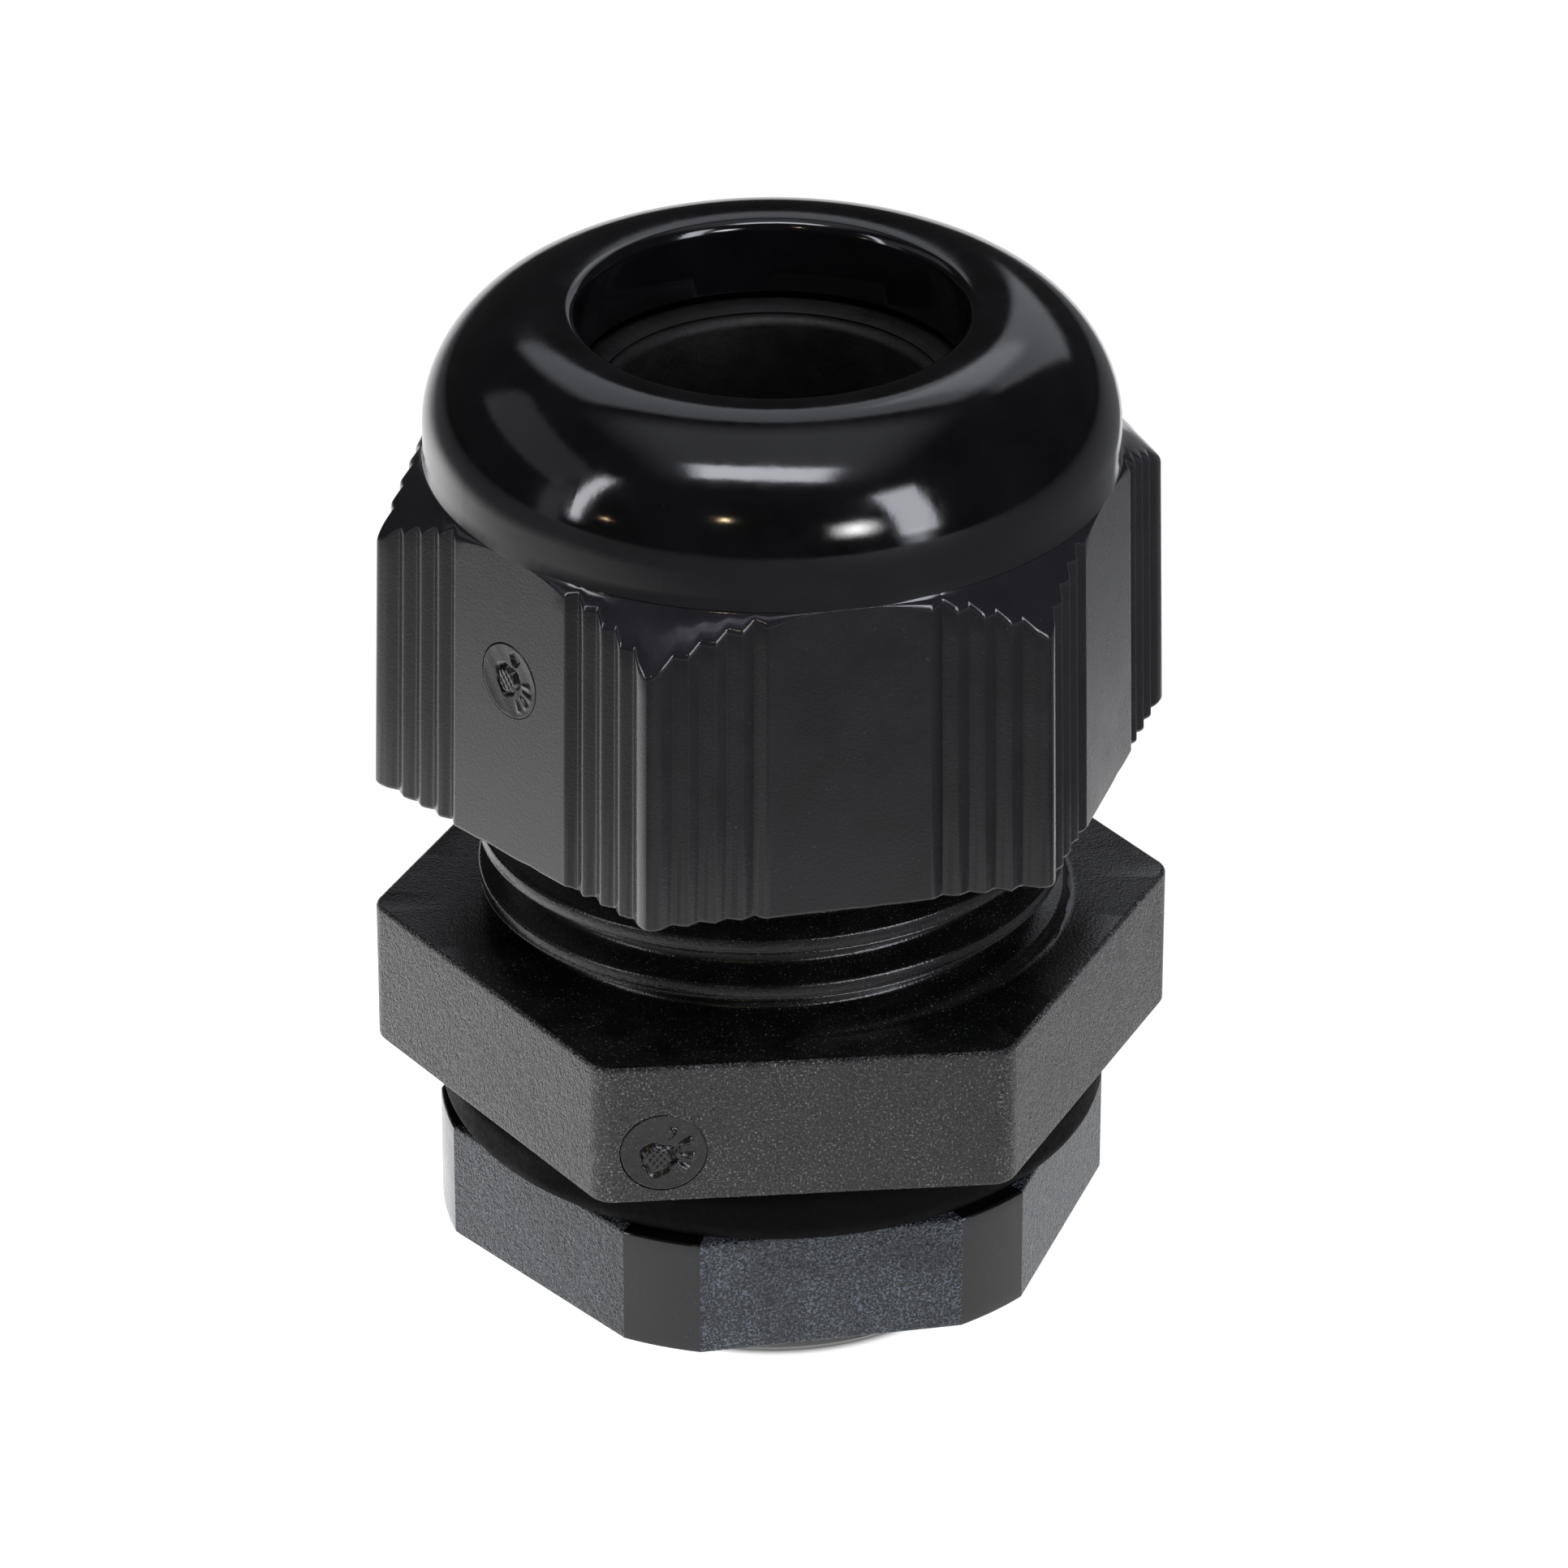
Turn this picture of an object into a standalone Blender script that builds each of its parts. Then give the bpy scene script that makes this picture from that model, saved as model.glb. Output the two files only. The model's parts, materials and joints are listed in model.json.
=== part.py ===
"""Cable gland with an M20 x 1.5 entry thread, for cables from 7 to 12 mm.

A hexagonal body carries a coarse thread for the domed cap nut, a ring of clamping fingers round a rubber
seal, and a fine thread with a gasket and a lock nut that hold the gland in a panel.
+Z is up the cable's axis. The origin is on that axis, at the end of the fine thread. Dimensions are in
millimetres and become metres where a mesh is made.
"""
import math

import bmesh
import bpy
from mathutils import Matrix, Vector

MM = 0.001
TAU = 2.0 * math.pi

# Fine entry thread, M20 x 1.5
SHANK_LENGTH = 10.3
SHANK_PITCH = 1.5
SHANK_CREST_R = 9.95
SHANK_ROOT_R = 9.05
SHANK_END_R = 8.35
SHANK_THREAD_PHASE = 0.5  # height of the crest where the thread passes the -Y side

# Body
BODY_FLATS = 27.0
FLANGE_HEIGHT = 5.9
FLANGE_EDGE_R = 1.1
FLANGE_TOP = SHANK_LENGTH + FLANGE_HEIGHT
SPIGOT_TOP = 26.3
SPIGOT_TOP_R = 9.93
SPIGOT_CHAMFER = 1.0
BORE_R = 7.0
SEAL_POCKET_R = 8.1
SEAL_POCKET_FLOOR = 24.2
SEAL_POCKET_STEP = 0.6

# Coarse thread for the cap nut
CAP_PITCH = 2.0
CAP_CREST_R = 11.4
CAP_ROOT_R = 10.13
CAP_CREST_WIDTH = 0.75
CAP_ROOT_WIDTH = 1.35
CAP_THREAD_PHASE = 19.98  # height of the crest where the thread passes the -Y side

# Cap nut
CAP_BOTTOM = 22.57
CAP_FLATS = 27.0
CAP_TOP_FLATS = 26.4
CAP_TURN = 7.3  # degrees past the body's hexagon
CONE_SUM = 48.45  # radius plus height on the cone that trims the hexagon's corners
HEX_TOP = 36.0
DOME_R = 13.25
DOME_TOP = 41.28
DOME_CURVE = 4.65
DOME_FOOT = 30.0
OUTLET_R = 7.38
OUTLET_CHAMFER = 0.35
OUTLET_FLOOR = 38.2
CLAMP_CONE_TOP_R = 8.475
CLAMP_CONE_FOOT = 30.9
CAP_MINOR_R = 10.4
CAP_MOUTH_R = 11.9
CAP_MOUTH_TOP = 1.2
CAP_THREAD_LENGTH = 8.0

# Grip ribs on the cap nut, measured along a flat from its middle
RIB_FIRST = 3.62
RIB_PITCH = 1.035
RIB_COUNT = 4
RIB_DEPTH = 0.27
RIB_HALF_WIDTH = 0.42

# Clamping fingers, modelled as they stand in the cap nut
FINGER_COUNT = 12
FINGER_ARC = 22.5
FINGER_LENGTH = 6.6
FINGER_HALF_THICKNESS = 0.7
FINGER_HINGE_R = 9.3
FINGER_HINGE_Z = SPIGOT_TOP + 0.3 + FINGER_HALF_THICKNESS
FINGER_LEAN = 5.0
FINGER_TIP_CHAMFER = 1.0
FINGER_TIP_EASE = 0.2

# Rubber seal
SEAL_R = 7.75
SEAL_HOLE_R = 6.15
SEAL_BOTTOM = 28.5
SEAL_TOP = 37.95
SEAL_EASE = 0.4
SEAL_LEAD_IN = 0.9

# Gasket and lock nut
GASKET_BOTTOM = 7.91
GASKET_TOP = 10.0
GASKET_R = 13.0
GASKET_HOLE_R = 10.2
GASKET_ROUND = 0.8
GASKET_HOLE_CHAMFER = 0.3
NUT_BOTTOM = 2.72
NUT_TOP = 7.61
NUT_FLATS = 24.0
NUT_CORNER_R = 13.05
NUT_TURN = 5.7
NUT_FLARE = 0.9

# Running clearances in the threads, and how far a ridge or groove is rooted in its wall
SCREW_GAP = 0.18
CAP_CREST_GAP = 0.25
NUT_CREST_GAP = 0.17
NUT_BORE_R = 9.35
COARSE_ROOTING = 0.3
FINE_ROOTING = 0.2
GROOVE_ROOTING = 0.15

# Cutters and envelopes run past the pieces that they shape
OVERRUN = 1.0
CLEARANCE = 0.3

# Facets round a full turn
THREAD_STEPS = 24
ROUND_STEPS = 32


def clear_scene():
    for item in list(bpy.data.objects):
        bpy.data.objects.remove(item)


def new_collection(name):
    collection = bpy.data.collections.new(name)
    bpy.context.scene.collection.children.link(collection)
    return collection


def add_object(name, mesh, collection):
    item = bpy.data.objects.new(name, mesh)
    collection.objects.link(item)
    return item


def finish_material(name, colour, roughness):
    material = bpy.data.materials.new(name)
    material.use_nodes = True
    shader = material.node_tree.nodes["Principled BSDF"]
    shader.inputs["Base Color"].default_value = (*colour, 1.0)
    shader.inputs["Roughness"].default_value = roughness
    shader.inputs["Metallic"].default_value = 0.0
    material.diffuse_color = (*colour, 1.0)
    return material


def outline_mesh(name, outline, closed):
    """A line of (radius, height) points on the +X side, in the XZ plane."""
    mesh = bpy.data.meshes.new(name)
    points = [(radius * MM, 0.0, height * MM) for radius, height in outline]
    count = len(points)
    edges = [(i, (i + 1) % count) for i in range(count if closed else count - 1)]
    mesh.from_pydata(points, edges, [])
    return mesh


def add_screw(item, angle, rise, steps):
    screw = item.modifiers.new("turn", "SCREW")
    screw.axis = "Z"
    screw.angle = angle
    screw.screw_offset = rise * MM
    screw.steps = steps
    screw.render_steps = steps
    screw.use_smooth_shade = True
    screw.use_merge_vertices = rise == 0.0 and angle == TAU
    screw.merge_threshold = 0.000001
    return screw


def turned(name, outline, collection, closed=False, steps=ROUND_STEPS):
    """A turned piece: the outline runs down its outer side, and a closed one comes back up the inner side."""
    item = add_object(name, outline_mesh(name, outline, closed), collection)
    add_screw(item, TAU, 0.0, steps)
    return item


def swept(name, outline, degrees, rise, steps, collection):
    """A closed outline carried round Z by the given angle while it climbs by rise, with both ends capped."""
    guide = add_object(name + "_guide", outline_mesh(name, outline, True), collection)
    add_screw(guide, math.radians(degrees), rise, steps)
    bpy.context.view_layer.update()
    graph = bpy.context.evaluated_depsgraph_get()
    mesh = bpy.data.meshes.new_from_object(guide.evaluated_get(graph))
    bpy.data.objects.remove(guide)
    work = bmesh.new()
    work.from_mesh(mesh)
    ends = [edge for edge in work.edges if edge.is_boundary]
    bmesh.ops.holes_fill(work, edges=ends, sides=len(outline))
    bmesh.ops.recalc_face_normals(work, faces=work.faces)
    work.to_mesh(mesh)
    work.free()
    mesh.name = name
    return add_object(name, mesh, collection)


def thread_ridge(name, root_r, crest_r, root_width, crest_width, pitch, phase, low, high, collection):
    """A helical ridge whose middle passes the -Y side at the phase height, and runs from low to high.

    Its facets start half a step past +X, so that its edges stay clear of the edges of turned pieces.
    """
    first_turn = math.floor((low - phase) / pitch)
    turns = math.ceil((high - phase) / pitch) - first_turn
    half_step = 180.0 / THREAD_STEPS
    climb = pitch * (90.0 + half_step) / 360.0  # from the -Y side to where the sweep starts
    middle = phase + first_turn * pitch + climb
    outline = [
        (root_r, middle + root_width / 2.0),
        (crest_r, middle + crest_width / 2.0),
        (crest_r, middle - crest_width / 2.0),
        (root_r, middle - root_width / 2.0),
    ]
    ridge = swept(name, outline, 360.0 * turns, pitch * turns, THREAD_STEPS * turns, collection)
    ridge.data.transform(Matrix.Rotation(math.radians(half_step), 4, "Z"))
    return ridge


def boolean(item, cutter, operation):
    modifier = item.modifiers.new(cutter.name, "BOOLEAN")
    modifier.operation = operation
    modifier.object = cutter
    modifier.solver = "EXACT"
    cutter.hide_render = True
    cutter.display_type = "WIRE"


def prism(name, outline, bottom, top, top_scale, collection):
    """A flat outline in X and Y drawn up from bottom to top, drawn in by top_scale on the way."""
    work = bmesh.new()
    ring = [work.verts.new((x * MM, y * MM, bottom * MM)) for x, y in outline]
    base = work.faces.new(ring)
    raised = bmesh.ops.extrude_face_region(work, geom=[base])
    for vert in [part for part in raised["geom"] if isinstance(part, bmesh.types.BMVert)]:
        vert.co = Vector((vert.co.x * top_scale, vert.co.y * top_scale, top * MM))
    bmesh.ops.recalc_face_normals(work, faces=work.faces)
    mesh = bpy.data.meshes.new(name)
    work.to_mesh(mesh)
    work.free()
    return add_object(name, mesh, collection)


def hexagon(flats, turn, side_points):
    """Six sides from side_points, (place along the side, depth below it), turned from a flat facing -Y."""
    outline = []
    for side in range(6):
        angle = math.radians(turn + 60.0 * side)
        along = Vector((math.cos(angle), math.sin(angle)))
        outward = Vector((math.sin(angle), -math.cos(angle)))
        for place, depth in side_points:
            point = along * place + outward * (flats / 2.0 - depth)
            outline.append((point.x, point.y))
    return outline


def ribbed_side(flats):
    """One side of the cap nut from its left corner: four grooves, the plain middle, four grooves."""
    half = []
    for groove in range(RIB_COUNT):
        place = RIB_FIRST + groove * RIB_PITCH
        half.append((place - RIB_HALF_WIDTH, 0.0))
        half.append((place, RIB_DEPTH))
    half.append((RIB_FIRST + (RIB_COUNT - 1) * RIB_PITCH + RIB_HALF_WIDTH, 0.0))
    corner = flats / 2.0 * math.tan(math.radians(30.0))
    left = [(-place, depth) for place, depth in reversed(half)]
    return [(-corner, 0.0)] + left + half


def arc(centre_r, centre_z, radius, start, end, count):
    """Points on an arc in the XZ plane, with angles in degrees from the outward direction."""
    points = []
    for step in range(count + 1):
        angle = math.radians(start + (end - start) * step / count)
        points.append((centre_r + radius * math.cos(angle), centre_z + radius * math.sin(angle)))
    return points


def flange_block(collection):
    bpy.ops.mesh.primitive_cylinder_add(
        vertices=6, radius=BODY_FLATS / 2.0 / math.cos(math.radians(30.0)) * MM, depth=FLANGE_HEIGHT * MM
    )
    block = bpy.context.active_object
    block.name = "flange_block"
    for owner in list(block.users_collection):
        owner.objects.unlink(block)
    collection.objects.link(block)
    mesh = block.data
    turn = Matrix.Rotation(math.radians(30.0), 4, "Z")
    lift = Matrix.Translation((0.0, 0.0, (SHANK_LENGTH + FLANGE_HEIGHT / 2.0) * MM))
    mesh.transform(lift @ turn)
    work = bmesh.new()
    work.from_mesh(mesh)
    upright = [e for e in work.edges if abs(e.verts[0].co.z - e.verts[1].co.z) > MM]
    bmesh.ops.bevel(work, geom=upright, offset=FLANGE_EDGE_R * MM, segments=3, profile=0.5, affect="EDGES")
    work.to_mesh(mesh)
    work.free()
    return block


def build_body(parts, cutters):
    core = [
        (0.0, SPIGOT_TOP + OVERRUN),
        (CAP_ROOT_R, SPIGOT_TOP + OVERRUN),
        (CAP_ROOT_R, FLANGE_TOP - OVERRUN),
        (SHANK_ROOT_R, FLANGE_TOP - 2.0 * OVERRUN),
        (SHANK_ROOT_R, -OVERRUN),
        (0.0, -OVERRUN),
    ]
    body = turned("gland_body", core, parts, steps=THREAD_STEPS)
    coarse = thread_ridge(
        "coarse_ridge", CAP_ROOT_R - COARSE_ROOTING, CAP_CREST_R, CAP_ROOT_WIDTH, CAP_CREST_WIDTH, CAP_PITCH,
        CAP_THREAD_PHASE, FLANGE_TOP, SPIGOT_TOP, cutters,
    )
    fine_foot = SHANK_ROOT_R - FINE_ROOTING
    fine = thread_ridge(
        "fine_ridge", fine_foot, SHANK_CREST_R, fine_width(fine_foot), fine_width(SHANK_CREST_R),
        SHANK_PITCH, SHANK_THREAD_PHASE, 0.0, SHANK_LENGTH, cutters,
    )
    past_coarse = CAP_CREST_R + CLEARANCE
    past_fine = SHANK_CREST_R + CLEARANCE
    limits = [
        (0.0, SPIGOT_TOP),
        (SPIGOT_TOP_R, SPIGOT_TOP),
        (past_coarse, SPIGOT_TOP - SPIGOT_CHAMFER),
        (past_coarse, FLANGE_TOP),
        (BODY_FLATS, FLANGE_TOP),
        (BODY_FLATS, SHANK_LENGTH),
        (past_fine, SHANK_LENGTH),
        (past_fine, past_fine - SHANK_END_R),
        (SHANK_END_R, 0.0),
        (0.0, 0.0),
    ]
    envelope = turned("body_envelope", limits, cutters, steps=THREAD_STEPS)
    bore = [
        (0.0, SPIGOT_TOP + OVERRUN),
        (SEAL_POCKET_R, SPIGOT_TOP + OVERRUN),
        (SEAL_POCKET_R, SEAL_POCKET_FLOOR),
        (BORE_R, SEAL_POCKET_FLOOR - SEAL_POCKET_STEP),
        (BORE_R, -OVERRUN),
        (0.0, -OVERRUN),
    ]
    bore_cutter = turned("body_bore", bore, cutters, steps=THREAD_STEPS)
    boolean(body, coarse, "UNION")
    boolean(body, fine, "UNION")
    boolean(body, envelope, "INTERSECT")
    boolean(body, flange_block(cutters), "UNION")
    boolean(body, bore_cutter, "DIFFERENCE")
    return body


def fine_width(radius):
    """Width of the M20 ridge at a radius: a pitch/8 flat at the crest and 60 degree sides."""
    return SHANK_PITCH / 8.0 + 2.0 * (SHANK_CREST_R - radius) * math.tan(math.radians(30.0))


def cap_width(radius, gap):
    """Width of the coarse ridge at a radius, grown by the gap on both sides."""
    share = (CAP_CREST_R - radius) / (CAP_CREST_R - (CAP_ROOT_R - COARSE_ROOTING))
    return CAP_CREST_WIDTH + share * (CAP_ROOT_WIDTH - CAP_CREST_WIDTH) + 2.0 * gap


def build_cap(parts, cutters):
    outline = hexagon(CAP_FLATS, CAP_TURN, ribbed_side(CAP_FLATS))
    cap = prism("dome_cap_nut", outline, CAP_BOTTOM, HEX_TOP, CAP_TOP_FLATS / CAP_FLATS, parts)
    past_corner = CAP_FLATS / 2.0 / math.cos(math.radians(30.0)) + CLEARANCE
    limits = [
        (0.0, HEX_TOP + OVERRUN),
        (CONE_SUM - HEX_TOP - OVERRUN, HEX_TOP + OVERRUN),
        (past_corner, CONE_SUM - past_corner),
        (past_corner, CAP_BOTTOM - OVERRUN),
        (0.0, CAP_BOTTOM - OVERRUN),
    ]
    envelope = turned("cap_envelope", limits, cutters)
    shoulder = arc(DOME_R - DOME_CURVE, DOME_TOP - DOME_CURVE, DOME_CURVE, 90.0, 0.0, 7)
    dome_outline = [(0.0, DOME_TOP)] + shoulder + [(DOME_R, DOME_FOOT), (0.0, DOME_FOOT)]
    dome = turned("cap_dome", dome_outline, cutters)
    thread_top = CAP_BOTTOM + CAP_THREAD_LENGTH
    hollow = [
        (0.0, DOME_TOP + OVERRUN),
        (OUTLET_R + OUTLET_CHAMFER, DOME_TOP + OVERRUN),
        (OUTLET_R + OUTLET_CHAMFER, DOME_TOP),
        (OUTLET_R, DOME_TOP - OUTLET_CHAMFER),
        (OUTLET_R, OUTLET_FLOOR),
        (CLAMP_CONE_TOP_R, OUTLET_FLOOR),
        (CAP_MINOR_R, CLAMP_CONE_FOOT),
        (CAP_MINOR_R, CAP_BOTTOM + CAP_MOUTH_TOP),
        (CAP_MOUTH_R, CAP_BOTTOM - CLEARANCE),
        (CAP_MOUTH_R, CAP_BOTTOM - OVERRUN),
        (0.0, CAP_BOTTOM - OVERRUN),
    ]
    cavity = turned("cap_cavity", hollow, cutters)
    major_r = CAP_CREST_R + CAP_CREST_GAP
    inner_r = CAP_MINOR_R - COARSE_ROOTING
    groove = thread_ridge(
        "cap_thread_groove", inner_r, major_r, cap_width(inner_r, SCREW_GAP), cap_width(major_r, SCREW_GAP),
        CAP_PITCH, CAP_THREAD_PHASE, CAP_BOTTOM - CAP_PITCH, thread_top - CAP_PITCH, cutters,
    )
    boolean(cap, envelope, "INTERSECT")
    boolean(cap, dome, "UNION")
    boolean(cap, cavity, "DIFFERENCE")
    boolean(cap, groove, "DIFFERENCE")
    return cap


def build_seal(parts):
    outline = [
        (SEAL_R - SEAL_EASE, SEAL_TOP),
        (SEAL_R, SEAL_TOP - SEAL_EASE),
        (SEAL_R, SEAL_BOTTOM + SEAL_EASE),
        (SEAL_R - SEAL_EASE, SEAL_BOTTOM),
        (SEAL_HOLE_R + SEAL_EASE, SEAL_BOTTOM),
        (SEAL_HOLE_R, SEAL_BOTTOM + SEAL_LEAD_IN),
        (SEAL_HOLE_R, SEAL_TOP - SEAL_LEAD_IN),
        (SEAL_HOLE_R + SEAL_EASE, SEAL_TOP - SEAL_EASE),
        (SEAL_HOLE_R + SEAL_LEAD_IN, SEAL_TOP),
    ]
    return turned("seal_insert", outline, parts, closed=True)


def finger_mesh(cutters):
    """One finger standing straight, its root rounded about its hinge line and its origin on that line."""
    half = FINGER_HALF_THICKNESS
    root = arc(FINGER_HINGE_R, FINGER_HINGE_Z, half, 0.0, -180.0, 4)
    tip = FINGER_HINGE_Z + FINGER_LENGTH
    outline = [(FINGER_HINGE_R, tip), (FINGER_HINGE_R + half, tip - FINGER_TIP_CHAMFER)]
    outline += root
    inner = FINGER_HINGE_R - half
    outline += [(inner, tip - FINGER_TIP_EASE), (inner + FINGER_TIP_EASE, tip)]
    pattern = swept("clamp_finger", outline, FINGER_ARC, 0.0, 3, cutters)
    mesh = pattern.data
    bpy.data.objects.remove(pattern)
    centre = Matrix.Rotation(math.radians(-FINGER_ARC / 2.0), 4, "Z")
    to_hinge = Matrix.Translation((-FINGER_HINGE_R * MM, 0.0, -FINGER_HINGE_Z * MM))
    mesh.transform(to_hinge @ centre)
    return mesh


def build_fingers(parts, cutters):
    mesh = finger_mesh(cutters)
    fingers = []
    for index in range(FINGER_COUNT):
        angle = TAU * index / FINGER_COUNT
        finger = add_object(f"clamp_finger_{index + 1:02d}", mesh, parts)
        finger.location = (
            FINGER_HINGE_R * MM * math.cos(angle),
            FINGER_HINGE_R * MM * math.sin(angle),
            FINGER_HINGE_Z * MM,
        )
        finger.rotation_euler = (0.0, -math.radians(FINGER_LEAN), angle)
        fingers.append(finger)
    return fingers


def build_gasket(parts):
    edge = GASKET_R - GASKET_ROUND
    upper = arc(edge, GASKET_TOP - GASKET_ROUND, GASKET_ROUND, 90.0, 0.0, 3)
    lower = arc(edge, GASKET_BOTTOM + GASKET_ROUND, GASKET_ROUND, 0.0, -90.0, 3)
    inner = [
        (GASKET_HOLE_R + GASKET_HOLE_CHAMFER, GASKET_BOTTOM),
        (GASKET_HOLE_R, GASKET_BOTTOM + GASKET_HOLE_CHAMFER),
        (GASKET_HOLE_R, GASKET_TOP - GASKET_HOLE_CHAMFER),
        (GASKET_HOLE_R + GASKET_HOLE_CHAMFER, GASKET_TOP),
    ]
    return turned("flange_gasket", upper + lower + inner, parts, closed=True)


def build_nut(parts, cutters):
    corner = NUT_FLATS / 2.0 * math.tan(math.radians(30.0))
    outline = hexagon(NUT_FLATS, NUT_TURN, [(-corner, 0.0)])
    nut = prism("lock_nut", outline, NUT_BOTTOM, NUT_TOP, 1.0, parts)
    round_outline = [
        (0.0, NUT_TOP + OVERRUN),
        (NUT_CORNER_R, NUT_TOP + OVERRUN),
        (NUT_CORNER_R, NUT_BOTTOM - OVERRUN),
        (0.0, NUT_BOTTOM - OVERRUN),
    ]
    rounder = turned("nut_corner_round", round_outline, cutters, steps=2 * ROUND_STEPS)
    flare_r = NUT_BORE_R + NUT_FLARE + CLEARANCE
    bore = [
        (0.0, NUT_TOP + CLEARANCE),
        (flare_r, NUT_TOP + CLEARANCE),
        (NUT_BORE_R, NUT_TOP - NUT_FLARE),
        (NUT_BORE_R, NUT_BOTTOM + NUT_FLARE),
        (flare_r, NUT_BOTTOM - CLEARANCE),
        (0.0, NUT_BOTTOM - CLEARANCE),
    ]
    bore_cutter = turned("nut_bore", bore, cutters, steps=THREAD_STEPS)
    inner_r = NUT_BORE_R - GROOVE_ROOTING
    outer_r = SHANK_CREST_R + NUT_CREST_GAP
    widen = 2.0 * SCREW_GAP / math.cos(math.radians(30.0))
    groove = thread_ridge(
        "nut_thread_groove", inner_r, outer_r, fine_width(inner_r) + widen, fine_width(outer_r) + widen,
        SHANK_PITCH, SHANK_THREAD_PHASE, NUT_BOTTOM - SHANK_PITCH, NUT_TOP + SHANK_PITCH, cutters,
    )
    boolean(nut, rounder, "INTERSECT")
    boolean(nut, bore_cutter, "DIFFERENCE")
    boolean(nut, groove, "DIFFERENCE")
    return nut


def set_material(item, material):
    item.data.materials.clear()
    item.data.materials.append(material)


def main():
    clear_scene()
    parts = new_collection("cable_gland")
    cutters = new_collection("cable_gland_cutters")
    set_material(build_body(parts, cutters), finish_material("body_polyamide", (0.035, 0.035, 0.037), 0.5))
    set_material(build_cap(parts, cutters), finish_material("cap_polyamide", (0.012, 0.012, 0.014), 0.3))
    set_material(build_seal(parts), finish_material("seal_rubber", (0.01, 0.01, 0.01), 0.6))
    finger_material = finish_material("finger_polyamide", (0.03, 0.03, 0.032), 0.45)
    for finger in build_fingers(parts, cutters):
        set_material(finger, finger_material)
    set_material(build_gasket(parts), finish_material("gasket_rubber", (0.008, 0.008, 0.009), 0.7))
    set_material(build_nut(parts, cutters), finish_material("nut_polyamide", (0.045, 0.047, 0.052), 0.5))


main()
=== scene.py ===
import json
import math

import bmesh
import bpy
import numpy as np
from mathutils import Matrix, Vector


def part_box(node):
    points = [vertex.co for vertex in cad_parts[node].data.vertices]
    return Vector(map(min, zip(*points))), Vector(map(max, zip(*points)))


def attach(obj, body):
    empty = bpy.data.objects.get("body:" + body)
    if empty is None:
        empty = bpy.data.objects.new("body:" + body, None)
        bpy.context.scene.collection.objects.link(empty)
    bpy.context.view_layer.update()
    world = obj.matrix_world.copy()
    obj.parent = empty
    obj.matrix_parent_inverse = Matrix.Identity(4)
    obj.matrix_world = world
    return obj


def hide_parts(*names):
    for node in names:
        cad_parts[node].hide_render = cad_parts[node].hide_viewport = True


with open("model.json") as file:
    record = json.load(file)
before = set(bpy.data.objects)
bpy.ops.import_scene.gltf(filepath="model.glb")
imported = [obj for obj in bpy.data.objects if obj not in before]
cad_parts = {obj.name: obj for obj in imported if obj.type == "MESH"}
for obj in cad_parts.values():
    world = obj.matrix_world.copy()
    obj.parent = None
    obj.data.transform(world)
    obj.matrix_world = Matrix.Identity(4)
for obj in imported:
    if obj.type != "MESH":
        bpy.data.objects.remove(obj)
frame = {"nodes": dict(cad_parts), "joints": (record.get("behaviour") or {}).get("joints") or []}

# The looks of a cable gland: a finer piece stands for each CAD solid and moves with its body.
# Dimensions are in millimetres and become metres where a mesh is made. An angle runs from -Y towards +X.

MM = 0.001
TURN = 2.0 * math.pi
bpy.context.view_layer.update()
WELD = 0.0000002  # metres


def low_and_high(node):
    """Height of a CAD node's lowest and highest point."""
    low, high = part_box(node)
    return low.z / MM, high.z / MM


# Cap nut
CAP_BOTTOM, DOME_TOP = low_and_high("dome_cap_nut")
CAP_APOTHEM = 13.5
CAP_DRAFT = 0.0225  # the flats lean in by this much per mm of height
CAP_TURN = 7.3  # degrees past the body's hexagon
CONE_SUM = 48.45  # radius plus height on the cone that trims the hexagon's corners
DOME_R = 13.25
DOME_CURVE = 4.65
DOME_POWER = 1.87  # 2 would be a quarter circle
LIP_R = 0.48
OUTLET_R = 7.38
OUTLET_FLOOR = 38.2
LIP_DROP = 0.04  # the lip's round starts this far below the dome's top
CLAMP_CONE_TOP_R = 8.475
CLAMP_CONE_FOOT = 30.9
CAP_MINOR_R = 10.4
CAP_MAJOR_R = 11.65
CAP_THREAD_TOP = 30.57
CAP_EDGE = 0.18  # from a sharp edge to where its rounding starts
CAP_BOTTOM_EDGE_R = 0.2
CAP_CORNER_ROUND = 0.2
CAP_CORNER_DROP = 0.05
SEAM_GAP = 0.02  # a side that would reach the dome ends this far below it
FLASH_COUNT = 110
FLASH_HEIGHT = 0.06
FLASH_WIDTHS = (0.3, 1.1)  # degrees
FLASH_SEED = 11
CAP_TILT = math.degrees(math.atan(CAP_DRAFT))

# Moulding gates: a disc in a pocket, on a flat of the cap nut and on one of the flange
CAP_GATE_HEIGHT = 30.1
CAP_GATE_R = 1.5
BODY_GATE_ALONG = -5.35
BODY_GATE_HEIGHT = 12.5
BODY_GATE_R = 1.65
GATE_GAP = 0.022
GATE_SHIFT = 0.013  # the disc sits off the middle of its pocket, so the line round it fades on one side
GATE_POCKET_DEPTH = 0.25
GATE_DISC_DEPTH = 0.24
GATE_DEEPEST = -0.2

# Grip ribs, measured along a flat from its middle
RIB_FIRST = 3.62
RIB_PITCH = 1.035
RIB_COUNT = 4
RIB_DEPTH = 0.27
PLAIN_HALF = 3.2
GROOVE_ROUND = 0.03
CREST_ROUND = 0.09
CRISP_ROUND = 0.008

# Body
BODY_TOP = low_and_high("gland_body")[1]
BODY_APOTHEM = 13.5
FLANGE_BOTTOM = 10.3
FLANGE_TOP = 16.2
FLANGE_CORNER_R = 1.1
FLANGE_EDGE_R = 0.16
NECK_FOOT_R = 0.45
BORE_R = 7.0
POCKET_R = 8.1
POCKET_FLOOR = 24.2

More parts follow.
